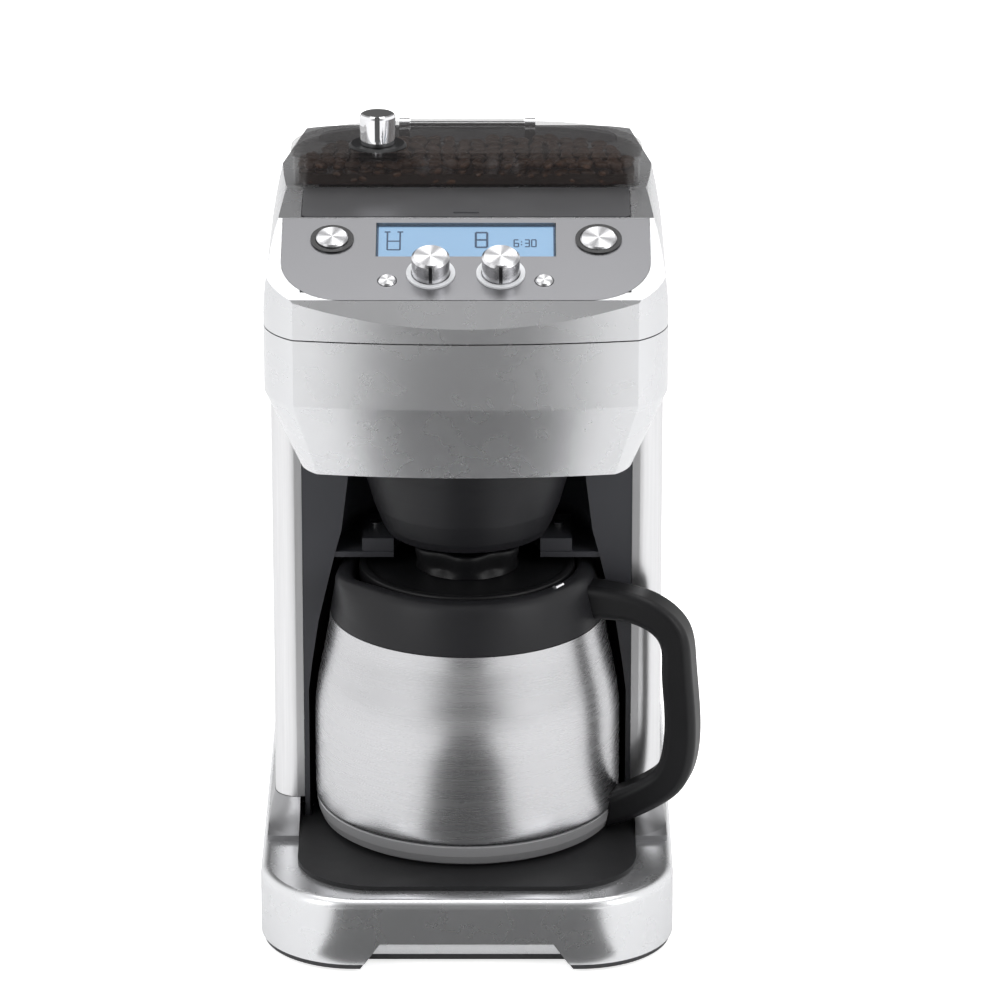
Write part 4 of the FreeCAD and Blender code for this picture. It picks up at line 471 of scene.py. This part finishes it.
def one_bean():
    """An ellipsoid (cos u, sin u cos v, sin u sin v) times the half sizes, pinched along its top by a groove:
    z is scaled by 1 - depth exp(-(y / groove half width)^2)."""
    u = np.linspace(0, math.pi, BEAN_RINGS)
    v = np.linspace(0, 2 * math.pi, BEAN_SIDES, endpoint=False)
    uu, vv = np.meshgrid(u, v, indexing="ij")
    bean = np.stack([np.cos(uu), np.sin(uu) * np.cos(vv), np.sin(uu) * np.sin(vv)], -1) * BEAN_HALVES
    groove = np.exp(-(bean[..., 1] / GROOVE_HALF_WIDTH) ** 2) * (bean[..., 2] > 0)
    bean[..., 2] *= 1 - GROOVE_DEPTH * groove
    return bean.reshape(-1, 3)


def bean_places():
    """Where the beans lie: rows over the sloping top, three rows down the front and one up each side,
    without those past the rounded rear corners."""
    xs, ys = np.meshgrid(np.arange(-0.0800, 0.0801, 0.0078), np.arange(-0.0235, 0.0410, 0.0066))
    top = np.stack([xs, ys, 0.3975 - 0.079 * (ys + 0.031)], -1).reshape(-1, 3)
    fx, fz = np.meshgrid(np.arange(-0.0810, 0.0811, 0.0072), [0.3892, 0.3930, 0.3968])
    front = np.stack([fx, np.full_like(fx, -0.0252), fz], -1).reshape(-1, 3)
    sx, sy = np.meshgrid([-0.0830, 0.0830], np.arange(-0.020, 0.018, 0.007))
    sides = np.stack([sx, sy, np.full_like(sx, 0.3945)], -1).reshape(-1, 3)
    at = np.vstack([top, front, sides])
    corner = (at[:, 1] > 0.0) & (np.hypot(np.abs(at[:, 0]) - 0.030, at[:, 1] + 0.009) > 0.050)
    return at[~corner]


def bean_field():
    """The heap: each place is shaken a little and gets a bean, turned, sized and sometimes face down."""
    at = bean_places()
    count = len(at)
    at[:, :2] += rng.uniform(-SHAKE_ACROSS, SHAKE_ACROSS, (count, 2))
    at[:, 2] += rng.uniform(-SHAKE_UP, SHAKE_UP, count)
    angles = np.stack([rng.uniform(-0.5, 0.5, count) + (rng.random(count) < 0.45) * math.pi,
                       rng.uniform(-0.35, 0.35, count), rng.uniform(0, math.pi, count)], -1)
    turns = np.array([np.array(Euler(a).to_matrix()) for a in angles])
    size = rng.uniform(0.85, 1.06, (count, 1, 1))
    points = np.einsum("nij,kj->nki", turns, one_bean()) * size + at[:, None]
    bean_start = BEAN_RINGS * BEAN_SIDES * np.arange(count)
    faces = (grid_faces(BEAN_RINGS, BEAN_SIDES)[None] + bean_start[:, None, None]).reshape(-1, 4)
    return points.reshape(-1, 3), faces


bean_skin = satin("roasted_bean", (0.060, 0.028, 0.014), 0.36, grain=0.5, grain_scale=900.0, vary=0.5)
beans = mesh_object("coffee_beans_heap", *bean_field(), bean_skin, "housing", 80)


# ---------------------------------------------------------------- studio

FLOOR_GLOW = 0.75
BASE_FRONT = -0.16
WEDGE_NEAR, WEDGE_FAR = -0.165, -2.6
WEDGE_HALF_WIDTH, WEDGE_HEIGHT = 0.088, 0.003
WEDGE_SPREAD = math.radians(12)
WORLD_DIM, WORLD_BRIGHT = 0.12, 1.08
MACHINE_MIDDLE = (0, 0, 0.2)


def stage():
    """A white paper floor: only the camera sees it glow, so it doesn't light the machine from below."""
    bpy.ops.mesh.primitive_plane_add(size=60, location=(0, 10, 0))
    floor = bpy.context.active_object
    floor.name = "studio_floor"
    made, tree, shader, at = new_material("studio_floor_paper")
    shader.inputs["Roughness"].default_value = 0.9
    shader.inputs["Specular IOR Level"].default_value = 0.1
    tree.links.new(mix_colour(tree, noise(tree, at, 3.0), (0.93, 0.93, 0.93), (0.95, 0.95, 0.95)),
                   shader.inputs["Base Color"])
    shader.inputs["Emission Color"].default_value = (1, 1, 1, 1)
    path = tree.nodes.new("ShaderNodeLightPath")
    tree.links.new(ramp(tree, path.outputs["Is Camera Ray"], 0.0, 1.0, 0.0, FLOOR_GLOW),
                   shader.inputs["Emission Strength"])
    floor.data.materials.append(made)


def dark_wedge():
    """A matt dark wedge in front that only glossy reflections see: the polished fronts mirror it in their
    middle. It lies just above the floor, its half width is WEDGE_HALF_WIDTH at the base's front and grows
    by the tangent of WEDGE_SPREAD."""
    slope = math.tan(WEDGE_SPREAD)
    points = [(s * (WEDGE_HALF_WIDTH - (y - BASE_FRONT) * slope), y, WEDGE_HEIGHT)
              for y, s in ((WEDGE_NEAR, -1), (WEDGE_NEAR, 1), (WEDGE_FAR, 1), (WEDGE_FAR, -1))]
    mesh = bpy.data.meshes.new("front_wedge")
    mesh.from_pydata(points, [], [(0, 1, 2, 3)])
    card = bpy.data.objects.new("front_wedge", mesh)
    bpy.context.scene.collection.objects.link(card)
    made, tree, shader, at = new_material("front_wedge_black")
    tree.links.new(mix_colour(tree, noise(tree, at, 2.0), (0.055, 0.055, 0.055), (0.065, 0.065, 0.065)),
                   shader.inputs["Base Color"])
    shader.inputs["Roughness"].default_value = 1.0
    mesh.materials.append(made)
    card.visible_camera = card.visible_diffuse = card.visible_shadow = card.visible_transmission = False


def area(name, place, aim, size, size_y, power):
    """A white rectangular light at a place, turned to face its aim."""
    light = bpy.data.lights.new(name, "AREA")
    light.shape = "RECTANGLE"
    light.size, light.size_y, light.energy = size, size_y, power
    made = bpy.data.objects.new(name, light)
    made.location = place
    way = np.array(aim) - np.array(place)
    flat = math.hypot(way[0], way[1])
    made.rotation_euler = Euler((math.atan2(flat, -way[2]), 0, math.atan2(-way[0], way[1])))
    bpy.context.scene.collection.objects.link(made)


def studio_world():
    """Light from all round, by direction (x, y, z): bright to both sides and above, dim in front."""
    world = bpy.data.worlds.new("studio")
    bpy.context.scene.world = world
    world.use_nodes = True
    tree = world.node_tree
    coords = tree.nodes.new("ShaderNodeTexCoord")
    split = tree.nodes.new("ShaderNodeSeparateXYZ")
    tree.links.new(coords.outputs["Generated"], split.inputs["Vector"])
    flank = ramp(tree, math_node(tree, "ABSOLUTE", split.outputs["X"]), 0.25, 0.60, 0.0, 1.0)
    above = ramp(tree, split.outputs["Z"], 0.62, 0.97, 0.0, 0.8)
    brightest = math_node(tree, "MAXIMUM", flank, above)
    tree.links.new(ramp(tree, brightest, 0.0, 1.0, WORLD_DIM, WORLD_BRIGHT),
                   tree.nodes["Background"].inputs["Strength"])
    tree.nodes["Background"].inputs["Color"].default_value = (1, 1, 1, 1)


stage()
dark_wedge()
bpy.context.scene.view_settings.view_transform = "Standard"
studio_world()
area("key_left", (-1.5, -1.6, 1.3), MACHINE_MIDDLE, 0.9, 1.6, 9)
area("key_right", (1.7, -1.3, 1.2), MACHINE_MIDDLE, 0.8, 1.6, 9)
area("top", (0.0, 0.1, 2.2), MACHINE_MIDDLE, 1.6, 1.6, 19)

CAMERA_DOWN = 19.92
camera_data = bpy.data.cameras.new("camera")
camera_data.lens, camera_data.sensor_width = 216.1, 36.0
camera_data.clip_start, camera_data.clip_end = 0.1, 100.0
camera = bpy.data.objects.new("camera", camera_data)
camera.location = (0.0173, -3.0, 1.2907)
camera.rotation_euler = Euler((math.radians(90 - CAMERA_DOWN), 0, 0))
bpy.context.scene.collection.objects.link(camera)
bpy.context.scene.camera = camera
